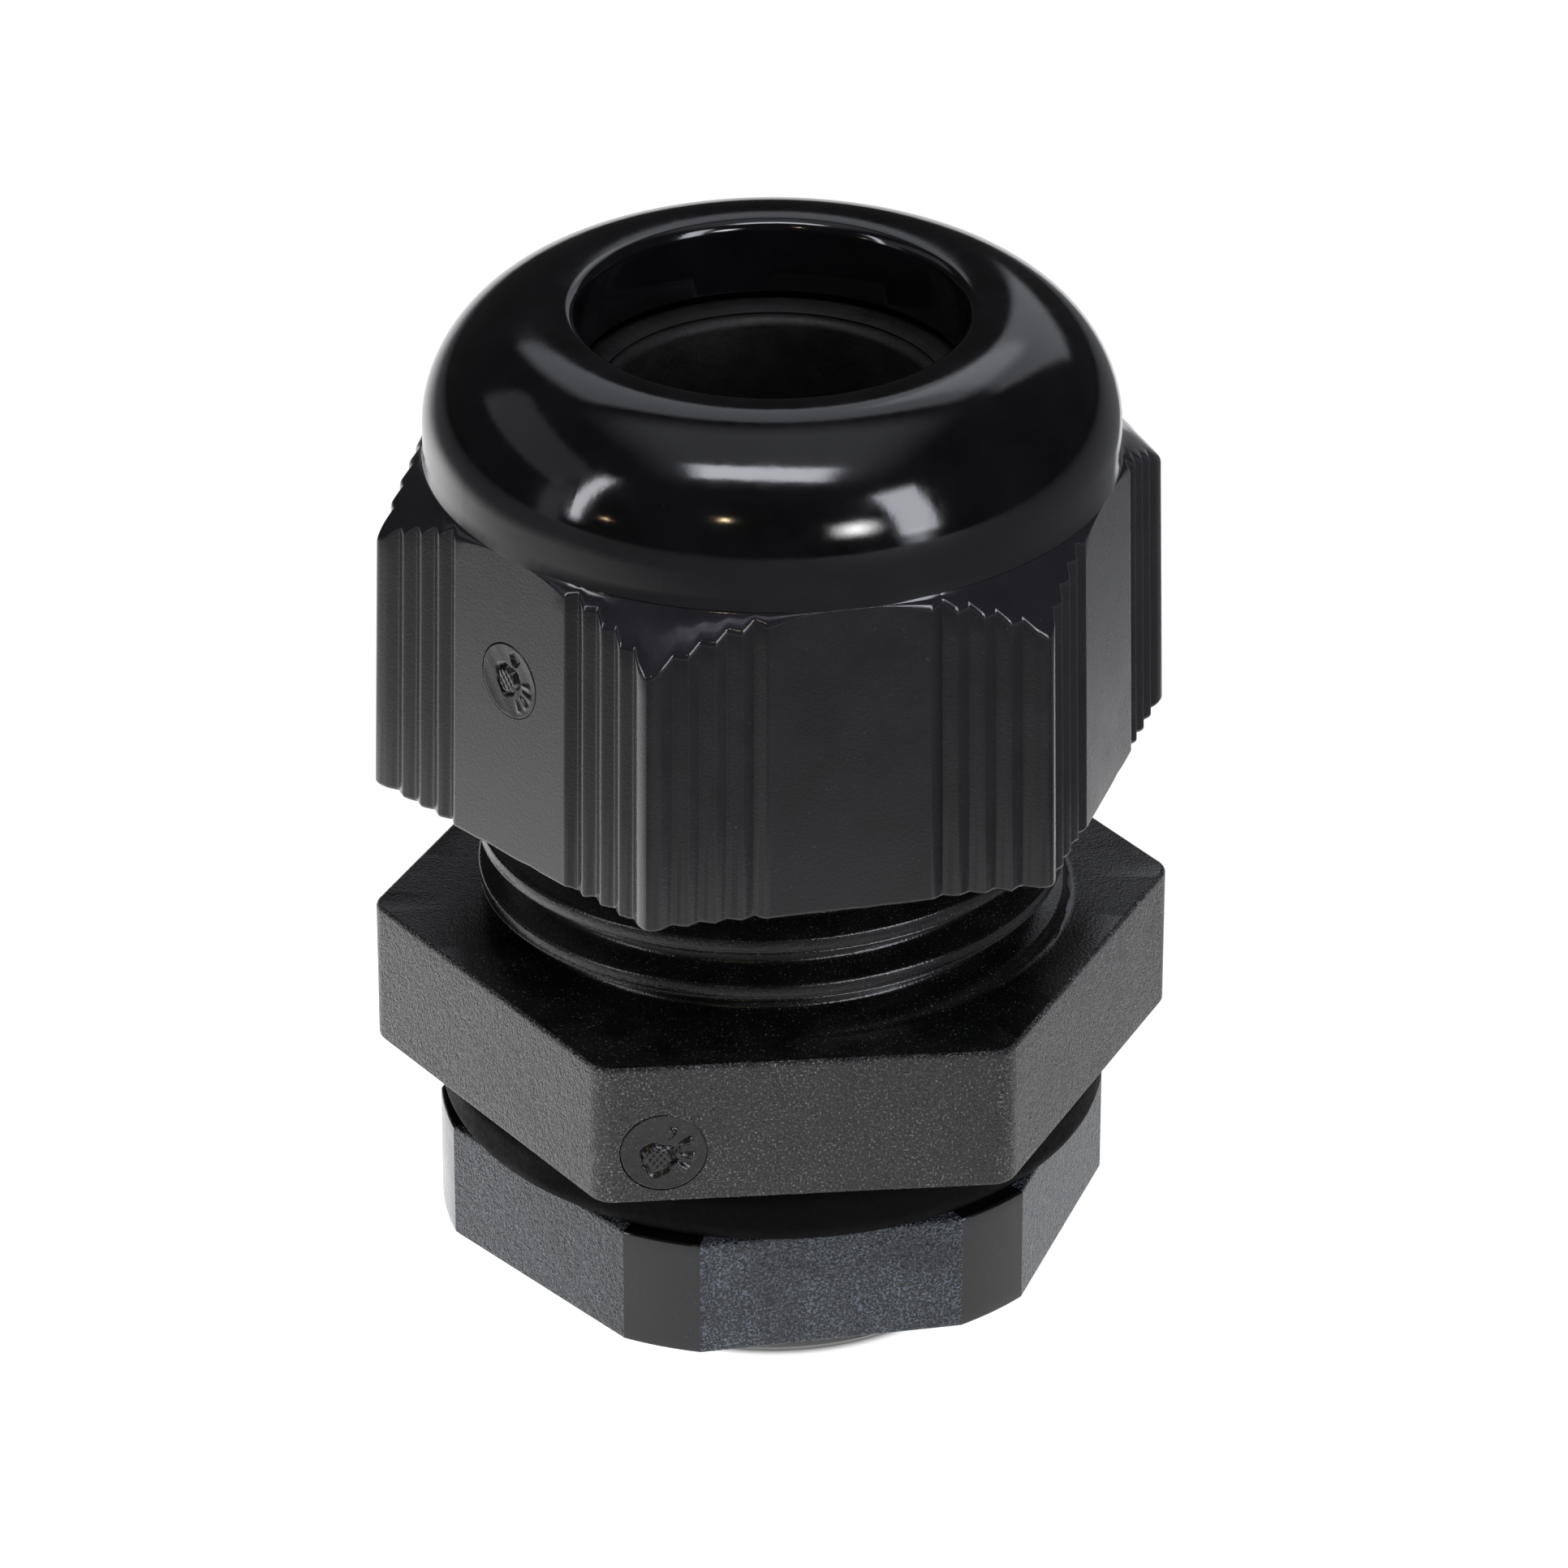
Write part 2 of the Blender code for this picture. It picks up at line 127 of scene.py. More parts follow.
# Threads: pitch, height of the crest where it passes the -Y side, root and crest radius
CAP_PITCH = 2.0
CAP_PHASE = 19.98
CAP_ROOT_R = 10.13
CAP_CREST_R = 11.4
ENTRY_PITCH = 1.5
ENTRY_PHASE = 0.5
ENTRY_ROOT_R = 9.05
ENTRY_CREST_R = 9.95
SHANK_END_R = 8.35
NUT_BORE_R = 9.35
NUT_MAJOR_R = 10.12

# Lock nut, gasket and seal
NUT_BOTTOM, NUT_TOP = low_and_high("lock_nut")
NUT_APOTHEM = 12.0
NUT_CORNER_R = 13.05
NUT_EDGE_R = 0.14
NUT_CHAMFER_R = 11.3
NUT_TURN = 5.7
GASKET_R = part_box("flange_gasket")[1].x / MM
GASKET_HOLE_R = 10.2
GASKET_ROUND = 0.95
SEAL_BOTTOM, SEAL_TOP = low_and_high("seal_insert")
SEAL_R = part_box("seal_insert")[1].x / MM
SEAL_HOLE_R = 6.15
SEAL_TAPER_FOOT = 33.6
SEAL_WAIST_R = 6.92
SEAL_COLLAR_R = 7.7

# Clamping fingers
FINGER_ARC = 22.5
FINGER_LENGTH = 6.2
FINGER_HALF_THICKNESS = 0.7
FINGER_LEAN = 5.0

# Camera and floor
CAMERA_ANGLE = -5.258  # degrees from -Y towards +X
CAMERA_ELEVATION = 29.11
CAMERA_DISTANCE = 351.2
AIM_HEIGHT = 20.68
LENS = 208.4
FRAME_SHIFT = 0.0076
SENSOR_WIDTH = 36.0
LAMP_DISTANCE = 0.6  # metres
WORLD_LIGHT = 0.035
FLOOR_SIZE = 4.0  # metres
FLOOR_GREYS = (0.26, 0.28)
# The floor's painted light, in mm to the camera's right and away from it. An edge is (where dark, where
# full).
FLOOR_LIGHT = 0.82
RIGHT_EDGE = (40.0, 33.0)
RIGHT_EDGE_SPREAD = 0.076  # how much further right the right edge is for each mm away
LEFT_EDGE = (-140.0, -34.0)
FRONT_EDGE = (-88.0, -22.0)
FLOOR_POOLS = ((-37.0, 2.0, 30.0, 1.25), (-75.0, 55.0, 32.0, 0.9))  # (right, away, spread, strength)
CONTACT_SHADOW = (8.1, 8.8)  # a radius round the axis

# Looks
WHITE = (1.0, 1.0, 1.0)
COOL = (0.9, 0.92, 1.0)
LAVENDER = (0.95, 0.94, 1.0)
DUST = (0.09, 0.09, 0.1)
PLASTIC = 1.5  # refractive index
SOFT_RUBBER = 1.4
DULL_RUBBER = 1.15
GLOSS_SLOT, SATIN_SLOT, SMOOTH_SLOT = 0, 1, 2  # order of the cap nut's materials
GRAIN_SLOT, BODY_SATIN_SLOT = 0, 1  # order of the body's materials
FLAT_SLOT, BAND_SLOT = 0, 1  # order of the lock nut's materials


# ---------------------------------------------------------------- shapes

def smooth_min(a, b, width):
    return 0.5 * (a + b - np.sqrt((a - b) ** 2 + width ** 2))


def smooth_max(a, b, width):
    return 0.5 * (a + b + np.sqrt((a - b) ** 2 + width ** 2))


def arc(centre_r, centre_z, radius, start, end, count):
    """(radius, height) points on an arc, with angles in degrees from the outward direction."""
    angles = np.radians(np.linspace(start, end, count + 1))
    return [(centre_r + radius * math.cos(a), centre_z + radius * math.sin(a)) for a in angles]


def ring(radius, height):
    """A function that gives the same radius and height at every angle."""
    return lambda angles: (np.full_like(angles, radius), np.full_like(angles, height))


def rings(points):
    return [ring(radius, height) for radius, height in points]


def make_object(name, vertices, faces, slots=None):
    mesh = bpy.data.meshes.new(name)
    mesh.from_pydata(vertices, [], faces)
    if slots is not None:
        mesh.polygons.foreach_set("material_index", slots)
    work = bmesh.new()
    work.from_mesh(mesh)
    bmesh.ops.remove_doubles(work, verts=work.verts, dist=WELD)
    bmesh.ops.recalc_face_normals(work, faces=work.faces)
    work.to_mesh(mesh)
    work.free()
    item = bpy.data.objects.new(name, mesh)
    bpy.context.scene.collection.objects.link(item)
    return item


def shade(item, sharp_angle):
    item.data.shade_smooth()
    item.data.set_sharp_from_angle(angle=math.radians(sharp_angle))
    weighted = item.modifiers.new("weighted normals", "WEIGHTED_NORMAL")
    weighted.keep_sharp = True
    weighted.weight = 60


def cut_away(item, cutter):
    """Take the cutter's shape out of a piece, and remove the cutter."""
    modifier = item.modifiers.new("cut", "BOOLEAN")
    modifier.operation = "DIFFERENCE"
    modifier.object = cutter
    modifier.solver = "EXACT"
    graph = bpy.context.evaluated_depsgraph_get()
    mesh = bpy.data.meshes.new_from_object(item.evaluated_get(graph))
    item.modifiers.clear()
    item.data = mesh
    bpy.data.objects.remove(cutter)


def skin(name, angles, rows, choose_slot=None):
    """A closed skin round the axis through rows of points, where the last row joins the first.

    A row is a function from angles to (radii, heights). The last angle is a full turn past the first, so a
    helical row may end on another row's start, and welding joins them.
    """
    radii = []
    heights = []
    for row in rows:
        radius, height = row(angles)
        radii.append(radius)
        heights.append(height)
    radii = np.array(radii)
    heights = np.array(heights)
    count = len(angles)
    x = radii * np.sin(angles) * MM
    y = -radii * np.cos(angles) * MM
    x[:, -1] = np.where(np.isclose(heights[:, -1], heights[:, 0]), x[:, 0], x[:, -1])
    vertices = np.stack([x, y, heights * MM], axis=-1).reshape(-1, 3)
    row_index, column = np.meshgrid(np.arange(len(rows)), np.arange(count - 1), indexing="ij")
    here = row_index * count + column
    above = (row_index + 1) % len(rows) * count + column
    faces = np.stack([here, here + 1, above + 1, above], axis=-1).reshape(-1, 4)
    slots = None
    if choose_slot is not None:
        next_row = (row_index + 1) % len(rows)
        middle_r = (radii[row_index, column] + radii[next_row, column + 1]) / 2.0
        middle_z = (heights[row_index, column] + heights[next_row, column + 1]) / 2.0
        slots = choose_slot(row_index, column, middle_r, middle_z).reshape(-1).astype(np.int32)
    return make_object(name, vertices.tolist(), faces.tolist(), slots)


def turned(name, points, count=144):
    return skin(name, np.linspace(0.0, TURN, count + 1), rings(points))


class Thread:
    """A right-hand thread's surface, as a radius at each angle and height."""

    def __init__(self, pitch, phase, profile):
        self.pitch = pitch
        self.phase = phase
        self.profile = profile  # (height above the crest's middle, radius), over one pitch, rising

    def radius(self, angles, heights):
        above = heights - self.phase - self.pitch * angles / TURN
        above = (above + self.pitch / 2.0) % self.pitch - self.pitch / 2.0
        steps, radii = zip(*self.profile)
        return np.interp(above, steps, radii)

    def rows(self, low, high, shape=lambda radius, heights: radius):
        """Rows along the helix between two heights. shape may change the radius, as a rounded end does."""
        first = math.floor((low - self.phase) / self.pitch) - 2
        last = math.ceil((high - self.phase) / self.pitch) + 1
        found = []
        for turn in range(first, last):
            for step, _ in self.profile[:-1]:
                found.append(self.row(turn * self.pitch + step, low, high, shape))
        return found

    def row(self, offset, low, high, shape):
        def place(angles):
            heights = self.phase + self.pitch * angles / TURN + offset
            heights = np.clip(heights, low, high)
            return shape(self.radius(angles, heights), heights), heights
        return place


def mirrored(half):
    """A profile over one pitch from its upper half, whose first point is on the crest's middle."""
    return [(-height, radius) for height, radius in reversed(half[1:])] + half


def cap_thread_profile(root_r, crest_r, grow):
    """The coarse ridge: a flat crest with a fine step low on it, sloping sides and rounded corners."""
    upper = [
        (0.24 + grow, crest_r),
        (0.30 + grow, crest_r - 0.03),
        (0.35 + grow, crest_r - 0.10),
        (0.57 + grow, root_r + 0.16),
        (0.63 + grow, root_r + 0.05),
        (0.72 + grow, root_r),
        (CAP_PITCH / 2.0, root_r),
    ]
    lower = [(-height, radius) for height, radius in reversed(upper)]
    lower[-1] = (-0.27 - grow, crest_r - 0.05)
    step = [(-0.16, crest_r - 0.045), (-0.15, crest_r - 0.07), (-0.13, crest_r - 0.07), (-0.115, crest_r)]
    return lower + step + upper


def entry_thread_profile(root_r, crest_r, grow):
    """A 60 degree ridge with a narrow crest."""
    slope = math.tan(math.radians(30.0))
    crest = ENTRY_PITCH / 16.0 + grow
    foot = crest + (crest_r - root_r) * slope
    return mirrored([
        (0.0, crest_r),
        (crest * 0.6, crest_r),
        (crest * 1.2, crest_r - 0.05),
        (foot - 0.03, root_r + 0.06),
        (foot + 0.04, root_r),
        (ENTRY_PITCH / 2.0, root_r),
    ])


CAP_THREAD = Thread(CAP_PITCH, CAP_PHASE, cap_thread_profile(CAP_ROOT_R, CAP_CREST_R, 0.0))
CAP_GROOVE = Thread(CAP_PITCH, CAP_PHASE, cap_thread_profile(CAP_MINOR_R, CAP_MAJOR_R, 0.17))
ENTRY_THREAD = Thread(ENTRY_PITCH, ENTRY_PHASE, entry_thread_profile(ENTRY_ROOT_R, ENTRY_CREST_R, 0.0))
ENTRY_GROOVE = Thread(ENTRY_PITCH, ENTRY_PHASE, entry_thread_profile(NUT_BORE_R, NUT_MAJOR_R, 0.19))


def six_sides(places, turn):
    """Angles for points at places along each side of a hexagon, over a full turn."""
    angles = [math.radians(turn + 60.0 * side) + place for side in range(6) for place in places]
    return np.array(angles + [angles[0] + TURN])


# ---------------------------------------------------------------- cap nut

def rib_depth(along):
    """Depth below the flat at a distance from its middle. The first groove starts at a crisp edge."""
    half = RIB_PITCH / 2.0
    place = np.abs(along)
    groove = np.clip(np.round((place - RIB_FIRST) / RIB_PITCH), 0, RIB_COUNT - 1)
    off = np.abs(place - RIB_FIRST - groove * RIB_PITCH)
    reach = np.where(place < RIB_FIRST, RIB_FIRST - PLAIN_HALF, half)
    sharp = RIB_DEPTH * (1.0 - (np.sqrt(off ** 2 + GROOVE_ROUND ** 2) - GROOVE_ROUND) / reach)
    crest_round = np.where(place < RIB_FIRST, CRISP_ROUND, CREST_ROUND)
    return smooth_max(sharp, np.zeros_like(sharp), crest_round)


def cap_side():
    """Places along one side of the cap nut, from its left corner to just short of its right corner.

    The shares are of a rib's pitch, and lie closer together at a groove's bottom and at a rib's crest.
    """
    shares = (-0.5, -0.44, -0.38, -0.3, -0.17, -0.07, -0.03, 0.0, 0.03, 0.07, 0.17, 0.3, 0.38, 0.44)
    half = [RIB_FIRST + (groove + share) * RIB_PITCH for groove in range(RIB_COUNT) for share in shares]
    half.append(RIB_FIRST + (RIB_COUNT - 0.5) * RIB_PITCH)
    corner = CAP_APOTHEM * math.tan(math.radians(30.0))
    half += [corner - 0.36, corner - 0.2, corner - 0.11, corner - 0.05]
    middle = list(np.linspace(-PLAIN_HALF + 0.14, PLAIN_HALF - 0.14, 11))
    return np.array([-corner] + [-place for place in reversed(half)] + middle + half)


def cap_outline():
    """(angles, radii at the bottom) of the ribbed hexagon, over a full turn."""
    along = cap_side()
    outward = CAP_APOTHEM - rib_depth(along)
    corner = CAP_APOTHEM * math.tan(math.radians(30.0))
    to_corner = np.clip((CAP_CORNER_ROUND - (corner - np.abs(along))) / CAP_CORNER_ROUND, 0.0, 1.0)
    outward = outward - CAP_CORNER_DROP * to_corner ** 2
    places = np.arctan2(along, outward)
    radii = np.hypot(along, outward)
    angles = six_sides(places, CAP_TURN)
    return angles, np.append(np.tile(radii, 6), radii[0])


def moulding_flash(angles):
    """Small nicks and burrs along the cap nut's bottom edge, as heights."""
    random = np.random.default_rng(FLASH_SEED)
    middles = random.uniform(0.0, TURN, FLASH_COUNT)
    widths = random.uniform(*FLASH_WIDTHS, FLASH_COUNT)
    flash_heights = random.uniform(-FLASH_HEIGHT, FLASH_HEIGHT, FLASH_COUNT)
    total = np.zeros_like(angles)
    for middle, width, height in zip(middles, widths, flash_heights):
        off = np.abs((angles - middle + TURN / 2.0) % TURN - TURN / 2.0)
        total += height * np.exp(-(off / math.radians(width)) ** 2)
    return total


def build_cap(gloss, satin, smooth):
    """The cap nut: ribbed sides, the cone that trims their tops, the dome, the outlet and its thread."""
    angles, bottom_r = cap_outline()
    lean_in = CAP_DRAFT / CAP_APOTHEM
    seam_z = CONE_SUM - DOME_R
    # Where each column's side ends: at the cone, or in the middle of a flat just under the dome
    cone_z = (CONE_SUM - bottom_r * (1.0 + lean_in * CAP_BOTTOM)) / (1.0 - bottom_r * lean_in)
    end_z = np.minimum(cone_z, seam_z - SEAM_GAP)
    end_r = bottom_r * (1.0 - lean_in * (end_z - CAP_BOTTOM))
    cone_length = np.maximum(end_r - DOME_R, 0.0)
    edge = np.clip(0.5 * cone_length, 0.004, CAP_EDGE)
    edge_r = edge / math.tan(math.radians(22.5))

    def column_row(radii, heights):
        return lambda _: (radii, heights)

    def side_radius(heights):
        return bottom_r * (1.0 - lean_in * (heights - CAP_BOTTOM))

    def cone_row(share):
        return column_row(end_r + share * (DOME_R - end_r), end_z + share * (seam_z - end_z))

    flash = moulding_flash(angles)
    rows = []
    for lean in np.linspace(0.0, 90.0, 5):
        inset = CAP_BOTTOM_EDGE_R * (1.0 - math.sin(math.radians(lean)))
        heights = CAP_BOTTOM + CAP_BOTTOM_EDGE_R * (1.0 - math.cos(math.radians(lean))) + flash
        rows.append(column_row(side_radius(heights) - inset, heights))
    for share in (0.35, 0.7, 0.93, 1.0):
        side_foot = CAP_BOTTOM + CAP_BOTTOM_EDGE_R
        heights = side_foot + share * (end_z - edge - side_foot)
        rows.append(column_row(side_radius(heights), heights))
    first_cone_row = len(rows) - 1
    for lean in (11.25, 22.5, 33.75, 45.0):
        in_by = edge_r * (1.0 - math.cos(math.radians(lean)))
        rows.append(column_row(end_r - in_by, end_z - edge + edge_r * math.sin(math.radians(lean))))
    to_cone = np.minimum(math.cos(math.radians(45.0)) * edge / np.maximum(cone_length, 0.001), 0.36)
    to_seam = 1.0 - np.minimum(0.05 / np.maximum(cone_length, 0.001), 0.2)
    rows += [cone_row(to_cone + share * (1.0 - to_cone)) for share in (0.3, 0.55)] + [cone_row(to_seam)]
    fillet = np.minimum(0.05, 0.2 * cone_length)
    rows.append(column_row(DOME_R + 0.3 * fillet, seam_z + 0.3 * fillet))
    rows.append(column_row(np.full_like(angles, DOME_R), seam_z + 0.01 + fillet))
    first_dome_row = len(rows) - 2
    rows += rings([(DOME_R, 35.8)])

    shoulder = []
    for lean in np.linspace(0.0, 90.0, 26):
        across = math.cos(math.radians(lean)) ** (2.0 / DOME_POWER)
        rise = math.sin(math.radians(lean)) ** (2.0 / DOME_POWER)
        shoulder.append((DOME_R - DOME_CURVE * (1.0 - across), DOME_TOP - DOME_CURVE * (1.0 - rise)))
    lip_z = DOME_TOP - LIP_DROP
    lip = [(8.1, DOME_TOP - 0.012)] + arc(OUTLET_R + LIP_R, lip_z - LIP_R, LIP_R, 90.0, 180.0, 7)
    inside = [
        (OUTLET_R, 40.2),
        (OUTLET_R - 0.02, OUTLET_FLOOR + 0.12),
        (OUTLET_R + 0.1, OUTLET_FLOOR),
        (CLAMP_CONE_TOP_R, OUTLET_FLOOR),
        (CLAMP_CONE_TOP_R + 0.05, OUTLET_FLOOR - 0.1),
        (CAP_MINOR_R, CLAMP_CONE_FOOT),
        (CAP_MINOR_R, CAP_THREAD_TOP),
    ]
    entry_top = CAP_BOTTOM + 1.2
    rows += rings(shoulder + lip + inside)
    rows += list(reversed(CAP_GROOVE.rows(entry_top, CAP_THREAD_TOP)))
    rows += rings([(CAP_MAJOR_R + 0.05, entry_top - 0.05), (CAP_MAJOR_R + 0.35, CAP_BOTTOM)])

    def choose_slot(row_index, column, middle_r, middle_z):
        below_dome = (row_index < first_dome_row) | (row_index == len(rows) - 1)
        side = np.where(below_dome, SATIN_SLOT, GLOSS_SLOT)
        return np.where((row_index >= first_cone_row) & (row_index < first_dome_row), SMOOTH_SLOT, side)

    cap = skin("cap_nut", angles, rows, choose_slot)
    give(cap, gloss, satin, smooth)
    distance = CAP_APOTHEM - CAP_DRAFT * (CAP_GATE_HEIGHT - CAP_BOTTOM)
    middle = on_flat(CAP_TURN - 60.0, GATE_SHIFT, CAP_GATE_HEIGHT + GATE_SHIFT, distance, CAP_TILT)
    pocket = gate_pocket(middle, CAP_GATE_R + GATE_GAP, satin)
    cut_away(cap, pocket)
    shade(cap, 50.0)
    return cap


# ---------------------------------------------------------------- body

def hexagon_radius(angles, apothem, corner_r, inset):
    """Distance from the axis to a hexagon with round corners, drawn in by inset."""
    off = (angles + math.radians(30.0)) % math.radians(60.0) - math.radians(30.0)
    flat = (apothem - inset) / np.cos(off)
    round_r = corner_r - min(inset, corner_r * 0.9)
    centre = (apothem - corner_r) / math.cos(math.radians(30.0))
    to_corner = math.radians(30.0) - np.abs(off)
    reach = centre * np.cos(to_corner) + np.sqrt(
        np.maximum(round_r ** 2 - (centre * np.sin(to_corner)) ** 2, 0.0))
    tangent = math.atan2(round_r * math.sin(math.radians(30.0)),
                         centre + round_r * math.cos(math.radians(30.0)))
    return np.where(to_corner < tangent, np.minimum(reach, flat), flat)


def body_angles():
    wide = np.radians(np.arange(-27.0, 27.1, 1.5))
    corner = np.radians(np.linspace(27.3, 32.7, 19))
    return six_sides(np.concatenate([wide, corner]), 0.0)


def build_body(grained, satin):
    """The body: the entry thread, the flange, the cap nut's thread and the bore."""
    def side_row(height, inset):
        def place(angles):
            radii = hexagon_radius(angles, BODY_APOTHEM, FLANGE_CORNER_R, inset)
            return radii, np.full_like(radii, height)
        return place

    def shank_end(radius, heights):
        return smooth_min(radius, SHANK_END_R + 1.05 * heights, 0.05)

    def foot(radius, heights):
        rise = np.clip(heights - FLANGE_TOP, 0.0, NECK_FOOT_R)
        return radius + NECK_FOOT_R - np.sqrt(NECK_FOOT_R ** 2 - (NECK_FOOT_R - rise) ** 2)

    def neck_row(height):
        def place(angles):
            heights = np.full_like(angles, height)
            return foot(CAP_THREAD.radius(angles, heights), heights), heights
        return place

    rows = rings([(BORE_R + 0.25, 0.0), (SHANK_END_R - 0.25, 0.0), (SHANK_END_R - 0.08, 0.04)])
    rows += ENTRY_THREAD.rows(0.12, FLANGE_BOTTOM, shank_end)
    for lean in np.linspace(0.0, 90.0, 5):
        inset = FLANGE_EDGE_R * (1.0 - math.sin(math.radians(lean)))
        rise = FLANGE_EDGE_R * (1.0 - math.cos(math.radians(lean)))
        rows.append(side_row(FLANGE_BOTTOM + rise, inset))
    rows += [side_row(height, 0.0) for height in np.linspace(FLANGE_BOTTOM + 0.8, FLANGE_TOP - 0.8, 4)]
    for lean in np.linspace(90.0, 0.0, 5):
        inset = FLANGE_EDGE_R * (1.0 - math.sin(math.radians(lean)))
        drop = FLANGE_EDGE_R * (1.0 - math.cos(math.radians(lean)))
        rows.append(side_row(FLANGE_TOP - drop, inset))
    rows += [ring(12.4, FLANGE_TOP), ring(11.9, FLANGE_TOP)]
    first_neck_row = len(rows)
    rows += [neck_row(FLANGE_TOP + rise) for rise in (0.0, 0.01, 0.03, 0.06, 0.11, 0.18, 0.27, 0.36, 0.45)]
    rows += CAP_THREAD.rows(FLANGE_TOP + NECK_FOOT_R, BODY_TOP - 0.5)
    rows += rings([
        (CAP_ROOT_R - 0.2, BODY_TOP),
        (POCKET_R + 0.2, BODY_TOP),
        (POCKET_R, BODY_TOP - 0.2),
        (POCKET_R, POCKET_FLOOR),
        (BORE_R + 0.1, POCKET_FLOOR - 0.5),
        (BORE_R, POCKET_FLOOR - 0.7),
        (BORE_R, 0.3),
        (BORE_R + 0.08, 0.08),
    ])

    def choose_slot(row_index, column, middle_r, middle_z):
        above_flange = row_index >= first_neck_row - 3
        below_flange = middle_z < FLANGE_BOTTOM - 0.01
        return np.where(above_flange | below_flange, BODY_SATIN_SLOT, GRAIN_SLOT)

    body = skin("body", body_angles(), rows, choose_slot)
    give(body, grained, satin)
    middle = on_flat(0.0, BODY_GATE_ALONG - GATE_SHIFT, BODY_GATE_HEIGHT - GATE_SHIFT, BODY_APOTHEM, 0.0)
    pocket = gate_pocket(middle, BODY_GATE_R + GATE_GAP, grained)
    cut_away(body, pocket)
    shade(body, 40.0)
    return body


# ---------------------------------------------------------------- lock nut, gasket, seal, fingers

def build_nut(grained, smooth):
    """The lock nut: a hexagon whose corners are turned off to a cylinder."""
    edge = math.degrees(math.acos(NUT_APOTHEM / NUT_CORNER_R))
    on_flat = np.linspace(-edge, edge, 25)
    on_corner = np.linspace(edge, 60.0 - edge, 9)[1:-1]
    places = np.radians(np.concatenate([on_flat, on_corner]))
    angles = six_sides(places, NUT_TURN)

    def outline(inset):
        off = (angles - math.radians(NUT_TURN) + math.radians(30.0)) % math.radians(60.0) - math.radians(30.0)
        flat = (NUT_APOTHEM - inset) / np.cos(off)
        return np.minimum(flat, NUT_CORNER_R - inset)

    def side_row(height, inset):
        return lambda _: (outline(inset), np.full_like(angles, height))

    rows = rings([(NUT_MAJOR_R + 0.45, NUT_BOTTOM), (NUT_CHAMFER_R, NUT_BOTTOM)])
    for lean in np.linspace(0.0, 90.0, 5):
        inset = NUT_EDGE_R * (1.0 - math.sin(math.radians(lean)))
        rise = NUT_EDGE_R * (1.0 - math.cos(math.radians(lean)))
        rows.append(side_row(NUT_BOTTOM + rise, inset))
    rows += [side_row(height, 0.0) for height in np.linspace(NUT_BOTTOM + 0.6, NUT_TOP - 0.6, 4)]
    for lean in np.linspace(90.0, 0.0, 5):
        inset = NUT_EDGE_R * (1.0 - math.sin(math.radians(lean)))
        drop = NUT_EDGE_R * (1.0 - math.cos(math.radians(lean)))
        rows.append(side_row(NUT_TOP - drop, inset))
    rows += rings([(NUT_CHAMFER_R, NUT_TOP), (NUT_MAJOR_R + 0.45, NUT_TOP)])
    rows += rings([(NUT_MAJOR_R + 0.02, NUT_TOP - 0.5)])
    rows += list(reversed(ENTRY_GROOVE.rows(NUT_BOTTOM + 0.55, NUT_TOP - 0.55)))
    rows += rings([(NUT_MAJOR_R + 0.02, NUT_BOTTOM + 0.5)])
    flat_half = math.acos(NUT_APOTHEM / NUT_CORNER_R)

    def choose_slot(row_index, column, middle_r, middle_z):
        middle = (angles[column] + angles[column + 1]) / 2.0 - math.radians(NUT_TURN) + math.radians(30.0)
        off = middle % math.radians(60.0) - math.radians(30.0)
        return np.where(np.abs(off) > flat_half, BAND_SLOT, FLAT_SLOT)

    nut = skin("nut", angles, rows, choose_slot)
    give(nut, grained, smooth)
    shade(nut, 20.0)
    return nut


def build_gasket():
    """The gasket fills the space between the lock nut and the flange, and bulges a little at its edge."""
    low = NUT_TOP + 0.02
    high = FLANGE_BOTTOM - 0.02
    edge = GASKET_R - GASKET_ROUND
    points = [(GASKET_HOLE_R + 0.2, low)]
    points += arc(edge, low + GASKET_ROUND, GASKET_ROUND, -90.0, 0.0, 8)
    points += arc(edge, high - GASKET_ROUND, GASKET_ROUND, 0.0, 90.0, 8)
    points += [(GASKET_HOLE_R + 0.2, high), (GASKET_HOLE_R, high - 0.2), (GASKET_HOLE_R, low + 0.2)]
    gasket = turned("gasket", points)
    shade(gasket, 40.0)
    return gasket


def build_seal():
    """The seal tapers towards a thin collar, which leaves the fingers room to lean in."""
    widest = SEAL_R - 0.1
    points = [(SEAL_HOLE_R + 0.5, SEAL_BOTTOM), (widest - 0.4, SEAL_BOTTOM)]
    points += arc(widest - 0.4, SEAL_BOTTOM + 0.4, 0.4, -80.0, 0.0, 4)
    points += [(widest, SEAL_TAPER_FOOT), (SEAL_WAIST_R, SEAL_TOP - 0.65), (SEAL_COLLAR_R, SEAL_TOP - 0.25)]
    points += arc(SEAL_COLLAR_R - 0.1, SEAL_TOP - 0.15, 0.1, 0.0, 90.0, 3)
    points += [(7.1, SEAL_TOP - 0.06), (6.85, SEAL_TOP - 0.1), (6.6, SEAL_TOP - 0.19)]
    points += arc(SEAL_HOLE_R + 0.35, SEAL_TOP - 0.6, 0.35, 60.0, 180.0, 8)
    points += [(SEAL_HOLE_R - 0.02, 34.0), (SEAL_HOLE_R, SEAL_BOTTOM + 0.9),
               (SEAL_HOLE_R + 0.12, SEAL_BOTTOM + 0.35)]
    seal = turned("seal", points)
    shade(seal, 40.0)
    return seal


def finger_section(hinge_r, hinge_z):
    half = FINGER_HALF_THICKNESS
    tip = hinge_z + FINGER_LENGTH
    points = arc(hinge_r, hinge_z, half, -180.0, 0.0, 10)
    points += [(hinge_r + half, tip - 1.1), (hinge_r + half - 0.08, tip - 0.8)]
    points += arc(hinge_r + 0.15, tip - 0.25, 0.25, 35.0, 90.0, 4)
    points += arc(hinge_r - half + 0.25, tip - 0.25, 0.25, 90.0, 180.0, 4)
    return points


